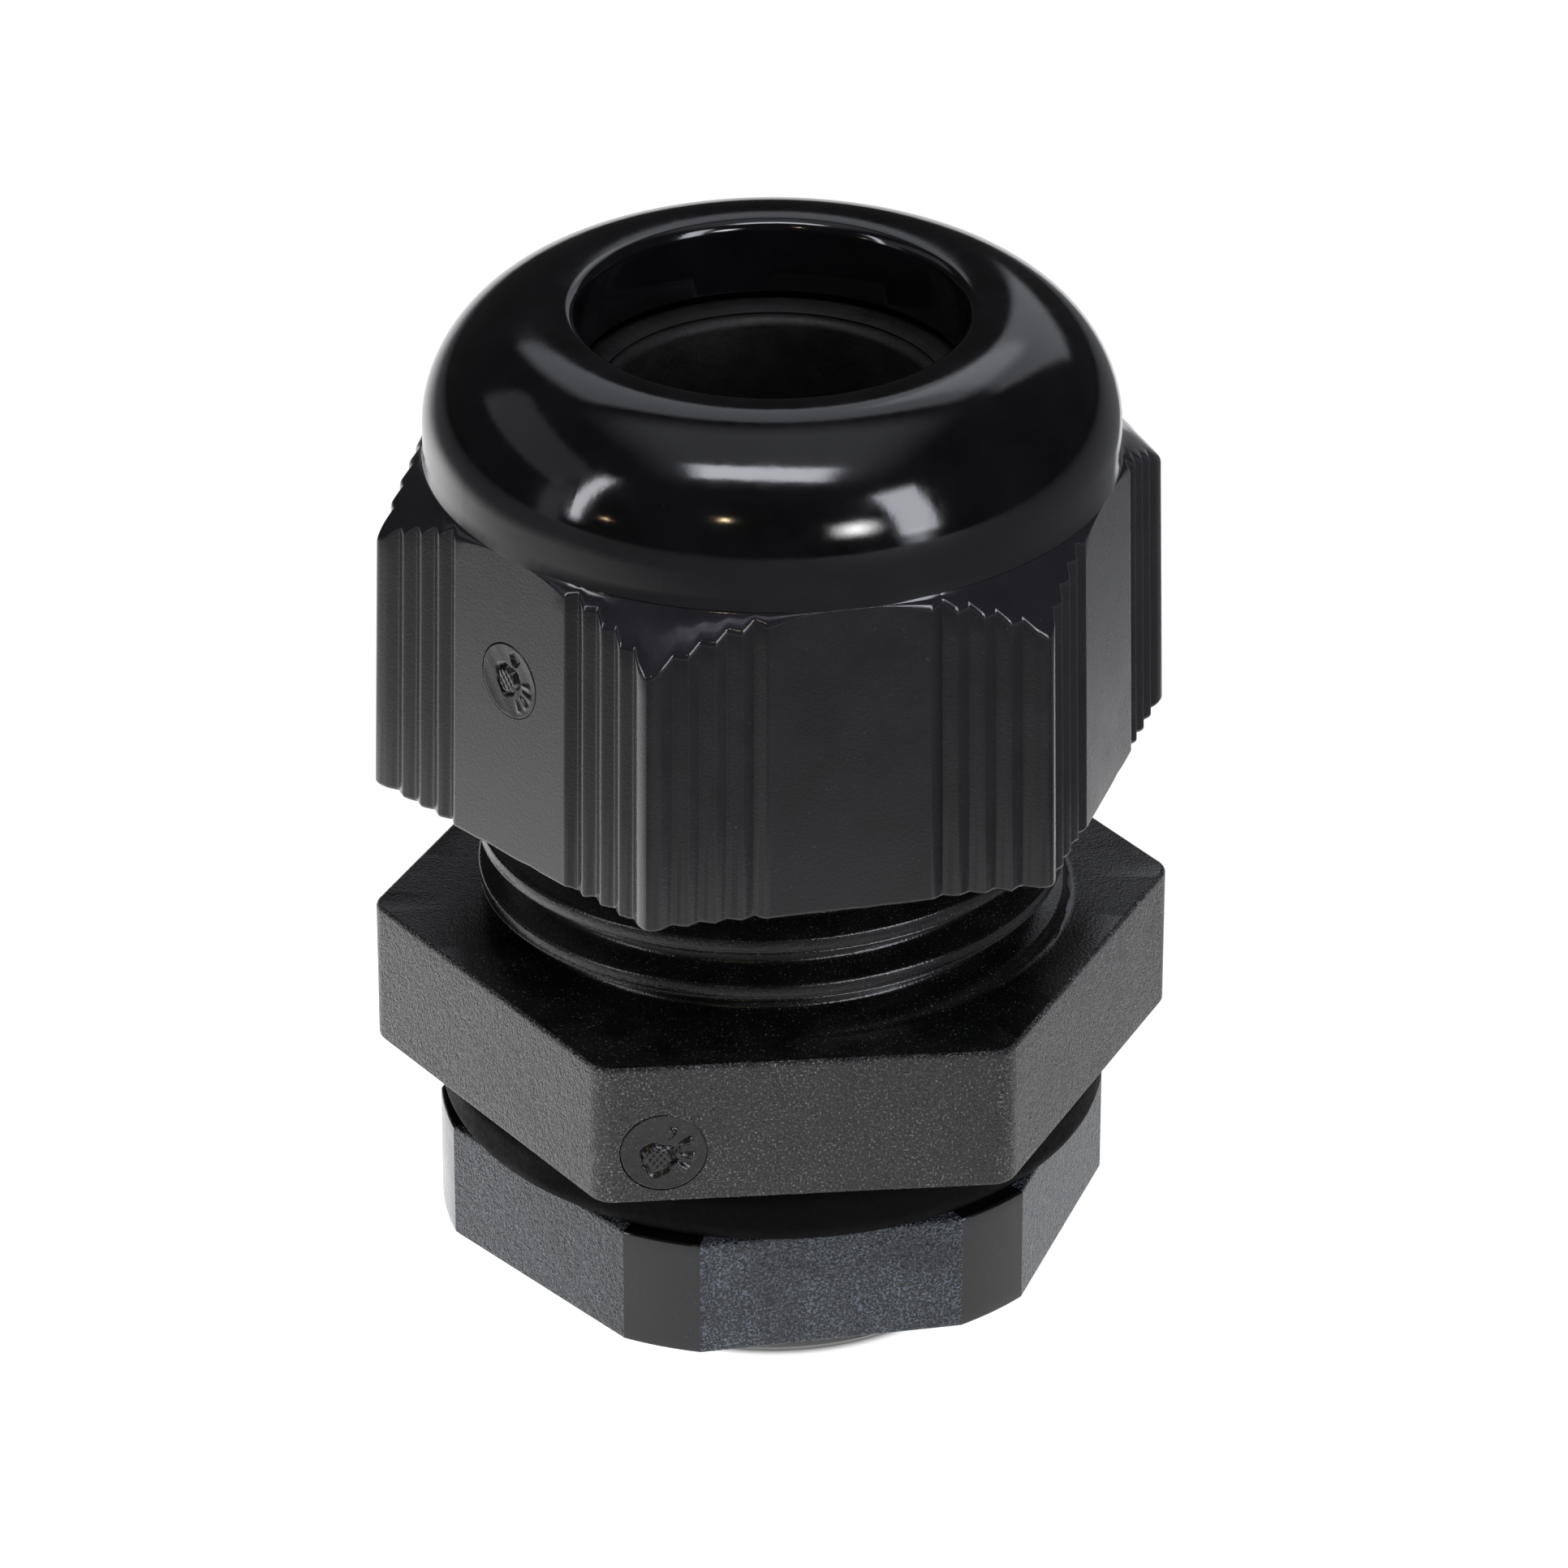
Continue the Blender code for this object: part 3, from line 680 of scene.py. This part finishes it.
def build_finger(number, joint):
    """One finger, leaning in from its hinge."""
    hinge = Vector(joint["pos_m"])
    axis = Vector(joint["axis"])
    middle = math.atan2(hinge.x, -hinge.y)
    section = finger_section(hinge.xy.length / MM, hinge.z / MM)
    half_arc = math.radians(FINGER_ARC / 2.0)
    ease = math.radians(0.45)
    spread = [-half_arc, -half_arc + ease] + list(np.linspace(-half_arc * 0.8, half_arc * 0.8, 6))
    spread += [half_arc - ease, half_arc]
    vertices = []
    for place in spread:
        drawn_in = 0.06 if abs(place) >= half_arc - 1e-6 else 0.0
        for radius, height in section:
            centre = hinge.xy.length / MM
            radius = centre + (radius - centre) * (1.0 - drawn_in)
            angle = middle + place
            vertices.append((radius * MM * math.sin(angle), -radius * MM * math.cos(angle), height * MM))
    count = len(section)
    faces = [list(range(count)), list(range(len(vertices) - 1, len(vertices) - count - 1, -1))]
    for strip in range(len(spread) - 1):
        for point in range(count):
            here = strip * count + point
            beside = strip * count + (point + 1) % count
            faces.append([here, beside, beside + count, here + count])
    item = make_object(f"finger_{number:02d}", vertices, faces)
    lean = Matrix.Rotation(math.radians(FINGER_LEAN), 4, axis)
    item.data.transform(Matrix.Translation(hinge) @ lean @ Matrix.Translation(-hinge))
    shade(item, 50.0)
    return item


def on_flat(outward_angle, along, height, distance, tilt):
    """A frame on a flat: X along it, Y up it and Z out of it."""
    stand = Matrix.Rotation(math.radians(90.0 - tilt), 4, "X")
    move = Matrix.Translation((along * MM, -distance * MM, height * MM))
    return Matrix.Rotation(math.radians(outward_angle), 4, "Z") @ move @ stand


def gate_pocket(frame_on_flat, radius, material):
    """A cutter for the round pocket in a flat that a gate mark sits in."""
    work = bmesh.new()
    bmesh.ops.create_cone(work, cap_ends=True, segments=72, radius1=radius * MM, radius2=radius * MM,
                          depth=2.0 * GATE_POCKET_DEPTH * MM)
    mesh = bpy.data.meshes.new("pocket")
    work.to_mesh(mesh)
    work.free()
    mesh.transform(frame_on_flat)
    pocket = bpy.data.objects.new("pocket", mesh)
    bpy.context.scene.collection.objects.link(pocket)
    give(pocket, material)
    return pocket


def gate_mark(name, frame_on_flat, radius, stub, pit, scars):
    """The trace of a moulding gate: a dished disc with a rough stub in a moat, a pit and torn ridges.

    stub and pit are (x, y, radius, height) in mm, and scars are (angle in degrees, start, end, height).
    """
    shares = np.linspace(0.0, 1.0, 44)
    angles = np.linspace(0.0, TURN, 161)
    points = []
    for share in shares:
        for angle in angles:
            x = share * radius * math.cos(angle)
            y = share * radius * math.sin(angle)
            relief = disc_relief(x, y, share) + stub_relief(x, y, stub)
            relief += pit[3] * smooth_step(1.0, 0.6, ragged_share(x, y, pit))
            relief += sum(scar_relief(x, y, scar) for scar in scars)
            points.append((x, y, max(relief, GATE_DEEPEST)))
    count = len(angles)
    faces = []
    for strip in range(len(shares) - 1):
        for step in range(count - 1):
            here = strip * count + step
            faces.append([here, here + 1, here + 1 + count, here + count])
    rim = len(points)
    for angle in angles:
        points.append((radius * math.cos(angle), radius * math.sin(angle), -GATE_DISC_DEPTH))
    for step in range(count - 1):
        here = rim - count + step
        faces.append([here, here + 1, here + 1 + count, here + count])
    faces.append(list(range(rim + count - 2, rim - 1, -1)))
    item = make_object(name, [tuple(value * MM for value in point) for point in points], faces)
    item.data.transform(frame_on_flat)
    shade(item, 50.0)
    return item


def disc_relief(x, y, share):
    """A shallow dish with a sunk rim and faint waves, at a share of the disc's radius."""
    dish = -0.05 * (1.0 - share ** 2)
    rim = -0.035 * smooth_step(0.985, 1.0, share)
    return dish + rim + 0.006 * math.sin(7.0 * x + 2.0) * math.sin(5.0 * y + 1.0)


def stub_relief(x, y, stub):
    """A torn stub with a rough top, and the moat round it."""
    share = ragged_share(x, y, stub)
    rough = 0.018 * math.sin(23.0 * x + 1.0) * math.sin(19.0 * y + 2.0)
    moat = 0.09 * max(0.0, 1.0 - abs(share - 1.2) / 0.25) ** 2
    return smooth_step(1.0, 0.82, share) * (stub[3] + rough) - moat


def scar_relief(x, y, scar):
    """A torn ridge that runs outwards and widens."""
    bearing, start, end, rise = scar
    turn = math.radians(bearing)
    forward = x * math.cos(turn) + y * math.sin(turn)
    aside = abs(-x * math.sin(turn) + y * math.cos(turn))
    width = 0.07 + 0.22 * max(0.0, forward - start)
    inside = smooth_step(start, start + 0.15, forward) * smooth_step(end, end - 0.12, forward)
    return rise * inside * max(0.0, 1.0 - aside / width)


def ragged_share(x, y, spot):
    """How far (x, y) is from the middle of a spot with a ragged rim, as a share of the rim's distance."""
    bearing = math.atan2(y - spot[1], x - spot[0])
    rim = spot[2] * (1.0 + 0.1 * math.sin(3.0 * bearing + 0.6) + 0.05 * math.sin(7.0 * bearing + 2.0))
    return math.hypot(x - spot[0], y - spot[1]) / rim


def smooth_step(start, end, value):
    share = min(max((value - start) / (end - start), 0.0), 1.0)
    return share * share * (3.0 - 2.0 * share)


# ---------------------------------------------------------------- materials

def new_material(name):
    material = bpy.data.materials.new(name)
    material.use_nodes = True
    tree = material.node_tree
    return material, tree, tree.nodes["Principled BSDF"]


def noise(tree, place, scale, detail, roughness=0.5):
    node = tree.nodes.new("ShaderNodeTexNoise")
    node.inputs["Scale"].default_value = scale
    node.inputs["Detail"].default_value = detail
    node.inputs["Roughness"].default_value = roughness
    tree.links.new(place, node.inputs["Vector"])
    return node.outputs["Fac"]


def ramp(tree, source, low, high, low_value, high_value):
    """source between low and high becomes low_value to high_value."""
    node = tree.nodes.new("ShaderNodeMapRange")
    node.inputs["From Min"].default_value = low
    node.inputs["From Max"].default_value = high
    node.inputs["To Min"].default_value = low_value
    node.inputs["To Max"].default_value = high_value
    tree.links.new(source, node.inputs["Value"])
    return node.outputs["Result"]


def arithmetic(tree, operation, first, second):
    node = tree.nodes.new("ShaderNodeMath")
    node.operation = operation
    for socket, value in zip(node.inputs, (first, second)):
        if isinstance(value, (int, float)):
            socket.default_value = value
        else:
            tree.links.new(value, socket)
    return node.outputs["Value"]


def moulded(name, dark, light, gloss, rough, grain, patch_size, flecks_and_glints, ior):
    """Moulded black plastic or rubber, with lengths in mm.

    dark and light are its colours in patches of patch_size, and gloss and rough are its least and greatest
    roughness. grain is (size, depth, share of a coarser grain), and flecks is (size, threshold, colour) for
    light flecks: dust where the colour is DUST, and painted glints, sparkle of light put into the colour,
    where it is lighter.
    """
    material, tree, shader = new_material(name)
    coordinates = tree.nodes.new("ShaderNodeTexCoord")
    to_mm = tree.nodes.new("ShaderNodeMapping")
    to_mm.inputs["Scale"].default_value = (1.0 / MM, 1.0 / MM, 1.0 / MM)
    tree.links.new(coordinates.outputs["Object"], to_mm.inputs["Vector"])
    place = to_mm.outputs["Vector"]
    grain_size, grain_depth, coarse_share = grain
    fleck_size, threshold, fleck_and_glint_colour = flecks_and_glints
    patches = noise(tree, place, 1.0 / patch_size, 3.0, 0.55)
    fine = noise(tree, place, 1.0 / grain_size, 2.0, 0.6)
    coarse = noise(tree, place, 0.35 / grain_size, 2.0, 0.5)
    spots = noise(tree, place, 1.0 / fleck_size, 1.0, 0.6)

    colour = tree.nodes.new("ShaderNodeMix")
    colour.data_type = "RGBA"
    colour.inputs["A"].default_value = (*dark, 1.0)
    colour.inputs["B"].default_value = (*light, 1.0)
    tree.links.new(ramp(tree, patches, 0.35, 0.65, 0.0, 1.0), colour.inputs["Factor"])
    flecked = tree.nodes.new("ShaderNodeMix")
    flecked.data_type = "RGBA"
    tree.links.new(colour.outputs["Result"], flecked.inputs["A"])
    flecked.inputs["B"].default_value = (*fleck_and_glint_colour, 1.0)
    # Light flecks: painted glints where the fleck colour is lighter than DUST, dust flecks where it is DUST.
    spot_share = ramp(tree, spots, threshold, threshold + 0.2, 0.0, 1.0)
    tree.links.new(arithmetic(tree, "MULTIPLY", spot_share, ramp(tree, patches, 0.3, 0.6, 0.35, 1.0)),
                   flecked.inputs["Factor"])
    tree.links.new(flecked.outputs["Result"], shader.inputs["Base Color"])

    uneven = arithmetic(tree, "ADD", arithmetic(tree, "MULTIPLY", patches, 0.55),
                        arithmetic(tree, "MULTIPLY", fine, 0.45))
    tree.links.new(ramp(tree, uneven, 0.36, 0.64, gloss, rough), shader.inputs["Roughness"])

    relief = arithmetic(tree, "ADD", fine, arithmetic(tree, "MULTIPLY", coarse, coarse_share))
    bump = tree.nodes.new("ShaderNodeBump")
    bump.inputs["Strength"].default_value = 1.0
    bump.inputs["Distance"].default_value = grain_depth * MM
    tree.links.new(relief, bump.inputs["Height"])
    tree.links.new(bump.outputs["Normal"], shader.inputs["Normal"])
    shader.inputs["IOR"].default_value = ior
    shader.inputs["Metallic"].default_value = 0.0
    return material


def glow(tree, place, pool):
    """A soft round pool of light."""
    right, away_by, spread, strength = pool
    away_from = tree.nodes.new("ShaderNodeVectorMath")
    away_from.operation = "DISTANCE"
    away_from.inputs[1].default_value = (right, away_by, 0.0)
    tree.links.new(place, away_from.inputs[0])
    share = arithmetic(tree, "DIVIDE", away_from.outputs["Value"], spread)
    power = arithmetic(tree, "MULTIPLY", arithmetic(tree, "POWER", share, 2.0), -1.0)
    fall = arithmetic(tree, "EXPONENT", power, 0.0)
    return arithmetic(tree, "MULTIPLY", fall, strength)


def soft_edge(tree, source, dark_and_full):
    """0 at the first value and 1 at the second, with a smooth step between."""
    node = tree.nodes.new("ShaderNodeMapRange")
    node.interpolation_type = "SMOOTHSTEP"
    dark, full = dark_and_full
    falls = dark > full
    node.inputs["From Min"].default_value = full if falls else dark
    node.inputs["From Max"].default_value = dark if falls else full
    node.inputs["To Min"].default_value = 1.0 if falls else 0.0
    node.inputs["To Max"].default_value = 0.0 if falls else 1.0
    tree.links.new(source, node.inputs["Value"])
    return node.outputs["Result"]


def floor_material():
    """A pale floor that glows with painted light, with soft edges, pools of light and a painted shadow under
    the object.
    """
    material, tree, shader = new_material("pale_floor")
    coordinates = tree.nodes.new("ShaderNodeTexCoord")
    across = tree.nodes.new("ShaderNodeMapping")
    across.inputs["Rotation"].default_value = (0.0, 0.0, -math.radians(CAMERA_ANGLE))
    across.inputs["Scale"].default_value = (1.0 / MM, 1.0 / MM, 1.0 / MM)
    tree.links.new(coordinates.outputs["Object"], across.inputs["Vector"])
    place = across.outputs["Vector"]
    shade_of_white = noise(tree, coordinates.outputs["Object"], 6.0, 2.0)
    colour = tree.nodes.new("ShaderNodeMix")
    colour.data_type = "RGBA"
    for socket, grey in zip(("A", "B"), FLOOR_GREYS):
        colour.inputs[socket].default_value = (grey, grey, grey, 1.0)
    tree.links.new(shade_of_white, colour.inputs["Factor"])
    tree.links.new(colour.outputs["Result"], shader.inputs["Base Color"])
    shader.inputs["Roughness"].default_value = 0.8

    parts = tree.nodes.new("ShaderNodeSeparateXYZ")
    tree.links.new(place, parts.inputs["Vector"])
    from_middle = arithmetic(tree, "SUBTRACT", parts.outputs["X"],
                             arithmetic(tree, "MULTIPLY", parts.outputs["Y"], RIGHT_EDGE_SPREAD))
    sideways = arithmetic(tree, "MULTIPLY", soft_edge(tree, from_middle, RIGHT_EDGE),
                          soft_edge(tree, parts.outputs["X"], LEFT_EDGE))
    # Painted light: the glowing area of the floor, fading out at soft edges.
    painted_lit_area = arithmetic(tree, "MULTIPLY", sideways, soft_edge(tree, parts.outputs["Y"], FRONT_EDGE))
    light = arithmetic(tree, "MULTIPLY", painted_lit_area, FLOOR_LIGHT)
    for pool in FLOOR_POOLS:
        light = arithmetic(tree, "ADD", light, glow(tree, place, pool))
    # A painted shadow: the floor's glow fades out under the object, between the radii of CONTACT_SHADOW.
    from_axis = tree.nodes.new("ShaderNodeVectorMath")
    from_axis.operation = "LENGTH"
    tree.links.new(place, from_axis.inputs[0])
    light = arithmetic(tree, "MULTIPLY", light, soft_edge(tree, from_axis.outputs["Value"], CONTACT_SHADOW))
    tree.links.new(light, shader.inputs["Emission Strength"])
    shader.inputs["Emission Color"].default_value = (*WHITE, 1.0)
    return material


def make_materials():
    return {
        # Flecks lighter than DUST, on body_grain, thread_satin and nut_grain, are painted glints: sparkle of
        # light put into the colour.
        "dome": moulded("cap_gloss", (0.002, 0.002, 0.0024), (0.004, 0.004, 0.005), 0.08, 0.13,
                        (0.5, 0.002, 0.6), 3.0, (0.16, 0.79, DUST), PLASTIC),
        "cap_side": moulded("cap_satin", (0.0022, 0.0022, 0.0027), (0.005, 0.005, 0.006), 0.2, 0.29,
                            (0.11, 0.008, 0.15), 2.5, (0.12, 0.72, DUST), PLASTIC),
        "cone": moulded("cap_smooth", (0.011, 0.01, 0.0125), (0.014, 0.013, 0.016), 0.12, 0.16,
                        (0.3, 0.0008, 0.0), 2.5, (0.13, 0.76, DUST), PLASTIC),
        "body": moulded("body_grain", (0.0025, 0.0024, 0.0023), (0.006, 0.0058, 0.0055), 0.19, 0.34,
                        (0.1, 0.2, 0.6), 2.0, (0.09, 0.56, (0.26, 0.263, 0.27)), PLASTIC),
        "thread": moulded("thread_satin", (0.0022, 0.0022, 0.0022), (0.0045, 0.0045, 0.0045), 0.17, 0.28,
                          (0.12, 0.016, 0.4), 1.5, (0.08, 0.65, (0.13, 0.13, 0.13)), PLASTIC),
        # The lock nut's bluish, lighter tone is painted light: the bluish sheen of its front facets, put into
        # the colour of every flat.
        "nut": moulded("nut_grain", (0.007, 0.0082, 0.0102), (0.015, 0.0178, 0.022), 0.16, 0.3,
                       (0.1, 0.3, 0.8), 2.4, (0.088, 0.47, (0.15, 0.18, 0.225)), PLASTIC),
        "nut_band": moulded("nut_satin", (0.0018, 0.0018, 0.002), (0.0035, 0.0036, 0.004), 0.2, 0.28,
                            (0.14, 0.008, 0.3), 2.0, (0.12, 0.7, DUST), PLASTIC),
        "seal": moulded("seal_rubber", (0.002, 0.002, 0.002), (0.005, 0.005, 0.005), 0.5, 0.65,
                        (0.2, 0.02, 0.6), 2.0, (0.12, 0.75, DUST), SOFT_RUBBER),
        # The gasket's colour is darker than the seal's: painted shade of the gap between the flange and the
        # lock nut.
        "gasket": moulded("gasket_rubber", (0.0006, 0.0006, 0.0006), (0.0012, 0.0012, 0.0012), 0.6, 0.8,
                          (0.2, 0.02, 0.6), 2.0, (0.12, 0.8, DUST), DULL_RUBBER),
        "finger": moulded("finger_satin", (0.012, 0.012, 0.013), (0.02, 0.02, 0.021), 0.4, 0.5,
                          (0.15, 0.02, 0.6), 2.0, (0.12, 0.7, DUST), PLASTIC),
    }


def give(item, *materials):
    for material in materials:
        item.data.materials.append(material)


def settle(item, body, slot, *nodes):
    """The piece rides on a body and stands for CAD nodes. The slot argument is not used."""
    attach(item, body)
    if nodes:
        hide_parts(*nodes)


def build_gland():
    finish = make_materials()
    cap = build_cap(finish["dome"], finish["cap_side"], finish["cone"])
    settle(cap, "dome_cap_nut", "cap_polyamide", "dome_cap_nut")

    cap_frame = on_flat(CAP_TURN - 60.0, 0.0, CAP_GATE_HEIGHT,
                        CAP_APOTHEM - CAP_DRAFT * (CAP_GATE_HEIGHT - CAP_BOTTOM), CAP_TILT)
    cap_mark = gate_mark("cap_gate_mark", cap_frame, CAP_GATE_R,
                         (-0.12, 0.02, 0.48, 0.08), (0.3, 0.98, 0.3, -0.12),
                         ((6.0, 0.62, 1.2, 0.05), (-16.0, 0.66, 1.3, 0.06), (-38.0, 0.7, 1.32, 0.06),
                          (-62.0, 0.75, 1.3, 0.05)))
    give(cap_mark, finish["cap_side"])
    settle(cap_mark, "dome_cap_nut", "cap_polyamide")

    body = build_body(finish["body"], finish["thread"])
    settle(body, "gland_body", "body_polyamide", "gland_body")

    body_frame = on_flat(0.0, BODY_GATE_ALONG, BODY_GATE_HEIGHT, BODY_APOTHEM, 0.0)
    body_mark = gate_mark("body_gate_mark", body_frame, BODY_GATE_R,
                          (-0.22, -0.3, 0.53, 0.1), (0.5, 0.1, 0.14, -0.1),
                          ((68.0, 0.5, 1.15, 0.17), (24.0, 0.6, 1.25, 0.13), (-12.0, 0.6, 1.25, 0.13),
                           (-42.0, 0.62, 1.3, 0.17)))
    give(body_mark, finish["thread"])
    settle(body_mark, "gland_body", "body_polyamide")

    nut = build_nut(finish["nut"], finish["nut_band"])
    settle(nut, "lock_nut", "nut_polyamide", "lock_nut")

    gasket = build_gasket()
    give(gasket, finish["gasket"])
    settle(gasket, "flange_gasket", "gasket_rubber", "flange_gasket")

    seal = build_seal()
    give(seal, finish["seal"])
    settle(seal, "seal_insert", "seal_rubber", "seal_insert")

    joints = {joint["child"]: joint for joint in frame["joints"]}
    fingers = sorted(node for node in frame["nodes"] if node.startswith("clamp_finger_"))
    for number, node in enumerate(fingers, start=1):
        finger = build_finger(number, joints[node])
        give(finger, finish["finger"])
        settle(finger, node, "finger_polyamide", node)


# ---------------------------------------------------------------- studio

AIM = Vector((0.0, 0.0, AIM_HEIGHT * MM))


def seen_from(angle, elevation, distance):
    """The point at a distance from the aim point, in metres."""
    a = math.radians(angle)
    e = math.radians(elevation)
    return AIM + Vector((math.sin(a) * math.cos(e), -math.cos(a) * math.cos(e), math.sin(e))) * distance


def face_aim(item):
    item.rotation_euler = (AIM - item.location).to_track_quat("-Z", "Y").to_euler()


def softbox(name, angle, elevation, wide, high, radiance, colour, fade):
    """A rectangular lamp. angle is from the camera towards the right, and wide and high are in degrees.

    fade is the share of each side over which its light fades towards the edge.
    """
    lamp = bpy.data.lights.new(name, "AREA")
    lamp.shape = "RECTANGLE"
    lamp.size = 2.0 * LAMP_DISTANCE * math.tan(math.radians(wide / 2.0))
    lamp.size_y = 2.0 * LAMP_DISTANCE * math.tan(math.radians(high / 2.0))
    lamp.energy = radiance * math.pi * lamp.size * lamp.size_y
    lamp.color = colour
    lamp.use_nodes = True
    tree = lamp.node_tree
    surface = tree.nodes.new("ShaderNodeNewGeometry")
    parts = tree.nodes.new("ShaderNodeSeparateXYZ")
    tree.links.new(surface.outputs["Parametric"], parts.inputs["Vector"])
    light = None
    for axis in ("X", "Y"):
        to_edge = arithmetic(tree, "MINIMUM", parts.outputs[axis],
                             arithmetic(tree, "SUBTRACT", 1.0, parts.outputs[axis]))
        inside = soft_edge(tree, to_edge, (0.0, fade))
        light = inside if light is None else arithmetic(tree, "MULTIPLY", light, inside)
    tree.links.new(light, tree.nodes["Emission"].inputs["Strength"])
    item = bpy.data.objects.new(name, lamp)
    bpy.context.scene.collection.objects.link(item)
    item.location = seen_from(angle + CAMERA_ANGLE, elevation, LAMP_DISTANCE)
    face_aim(item)


LAMPS = (  # name, angle, elevation, wide, high, radiance, colour, fade
    ("left_strip", -65.0, 23.0, 6.0, 44.0, 11.0, LAVENDER, 0.2),
    ("top_strip", -6.0, 70.0, 37.0, 13.5, 11.0, COOL, 0.16),
    ("right_strip", 47.0, 25.0, 15.0, 42.0, 10.0, COOL, 0.15),
    ("right_strip_foot", 46.0, 3.0, 14.0, 20.0, 5.0, COOL, 0.5),
    ("right_lamp", 27.0, 20.0, 19.0, 17.0, 27.0, WHITE, 0.5),
    ("overhead", 0.0, 89.0, 66.0, 66.0, 0.62, COOL, 0.3),
    ("back_box", 180.0, 45.0, 48.0, 27.0, 0.92, COOL, 0.15),
    ("left_back_box", -101.0, 34.0, 52.0, 23.0, 0.37, LAVENDER, 0.12),
    ("left_low_box", -74.0, 5.0, 12.0, 54.0, 0.5, LAVENDER, 0.3),
    ("right_back_box", 156.0, 31.0, 30.0, 35.0, 0.82, COOL, 0.14),
    ("left_spark", -54.0, 13.0, 2.2, 2.2, 30.0, (1.0, 0.75, 0.45), 0.2),
    ("middle_spark", -16.0, 31.0, 2.6, 2.6, 60.0, (1.0, 0.78, 0.45), 0.2),
)


def build_studio():
    bpy.ops.mesh.primitive_grid_add(x_subdivisions=8, y_subdivisions=8, size=FLOOR_SIZE)
    floor = bpy.context.active_object
    floor.name = "floor"
    floor.data.materials.append(floor_material())

    world = bpy.data.worlds.new("studio")
    world.use_nodes = True
    background = world.node_tree.nodes["Background"]
    background.inputs["Color"].default_value = (*WHITE, 1.0)
    background.inputs["Strength"].default_value = WORLD_LIGHT
    bpy.context.scene.world = world
    for lamp in LAMPS:
        softbox(*lamp)

    camera = bpy.data.cameras.new("camera")
    camera.lens = LENS
    camera.sensor_width = SENSOR_WIDTH
    camera.shift_x = FRAME_SHIFT
    camera.clip_start = 0.01
    item = bpy.data.objects.new("camera", camera)
    bpy.context.scene.collection.objects.link(item)
    item.location = seen_from(CAMERA_ANGLE, CAMERA_ELEVATION, CAMERA_DISTANCE * MM)
    face_aim(item)
    bpy.context.scene.camera = item
    bpy.context.scene.view_settings.view_transform = "Standard"


build_gland()
build_studio()
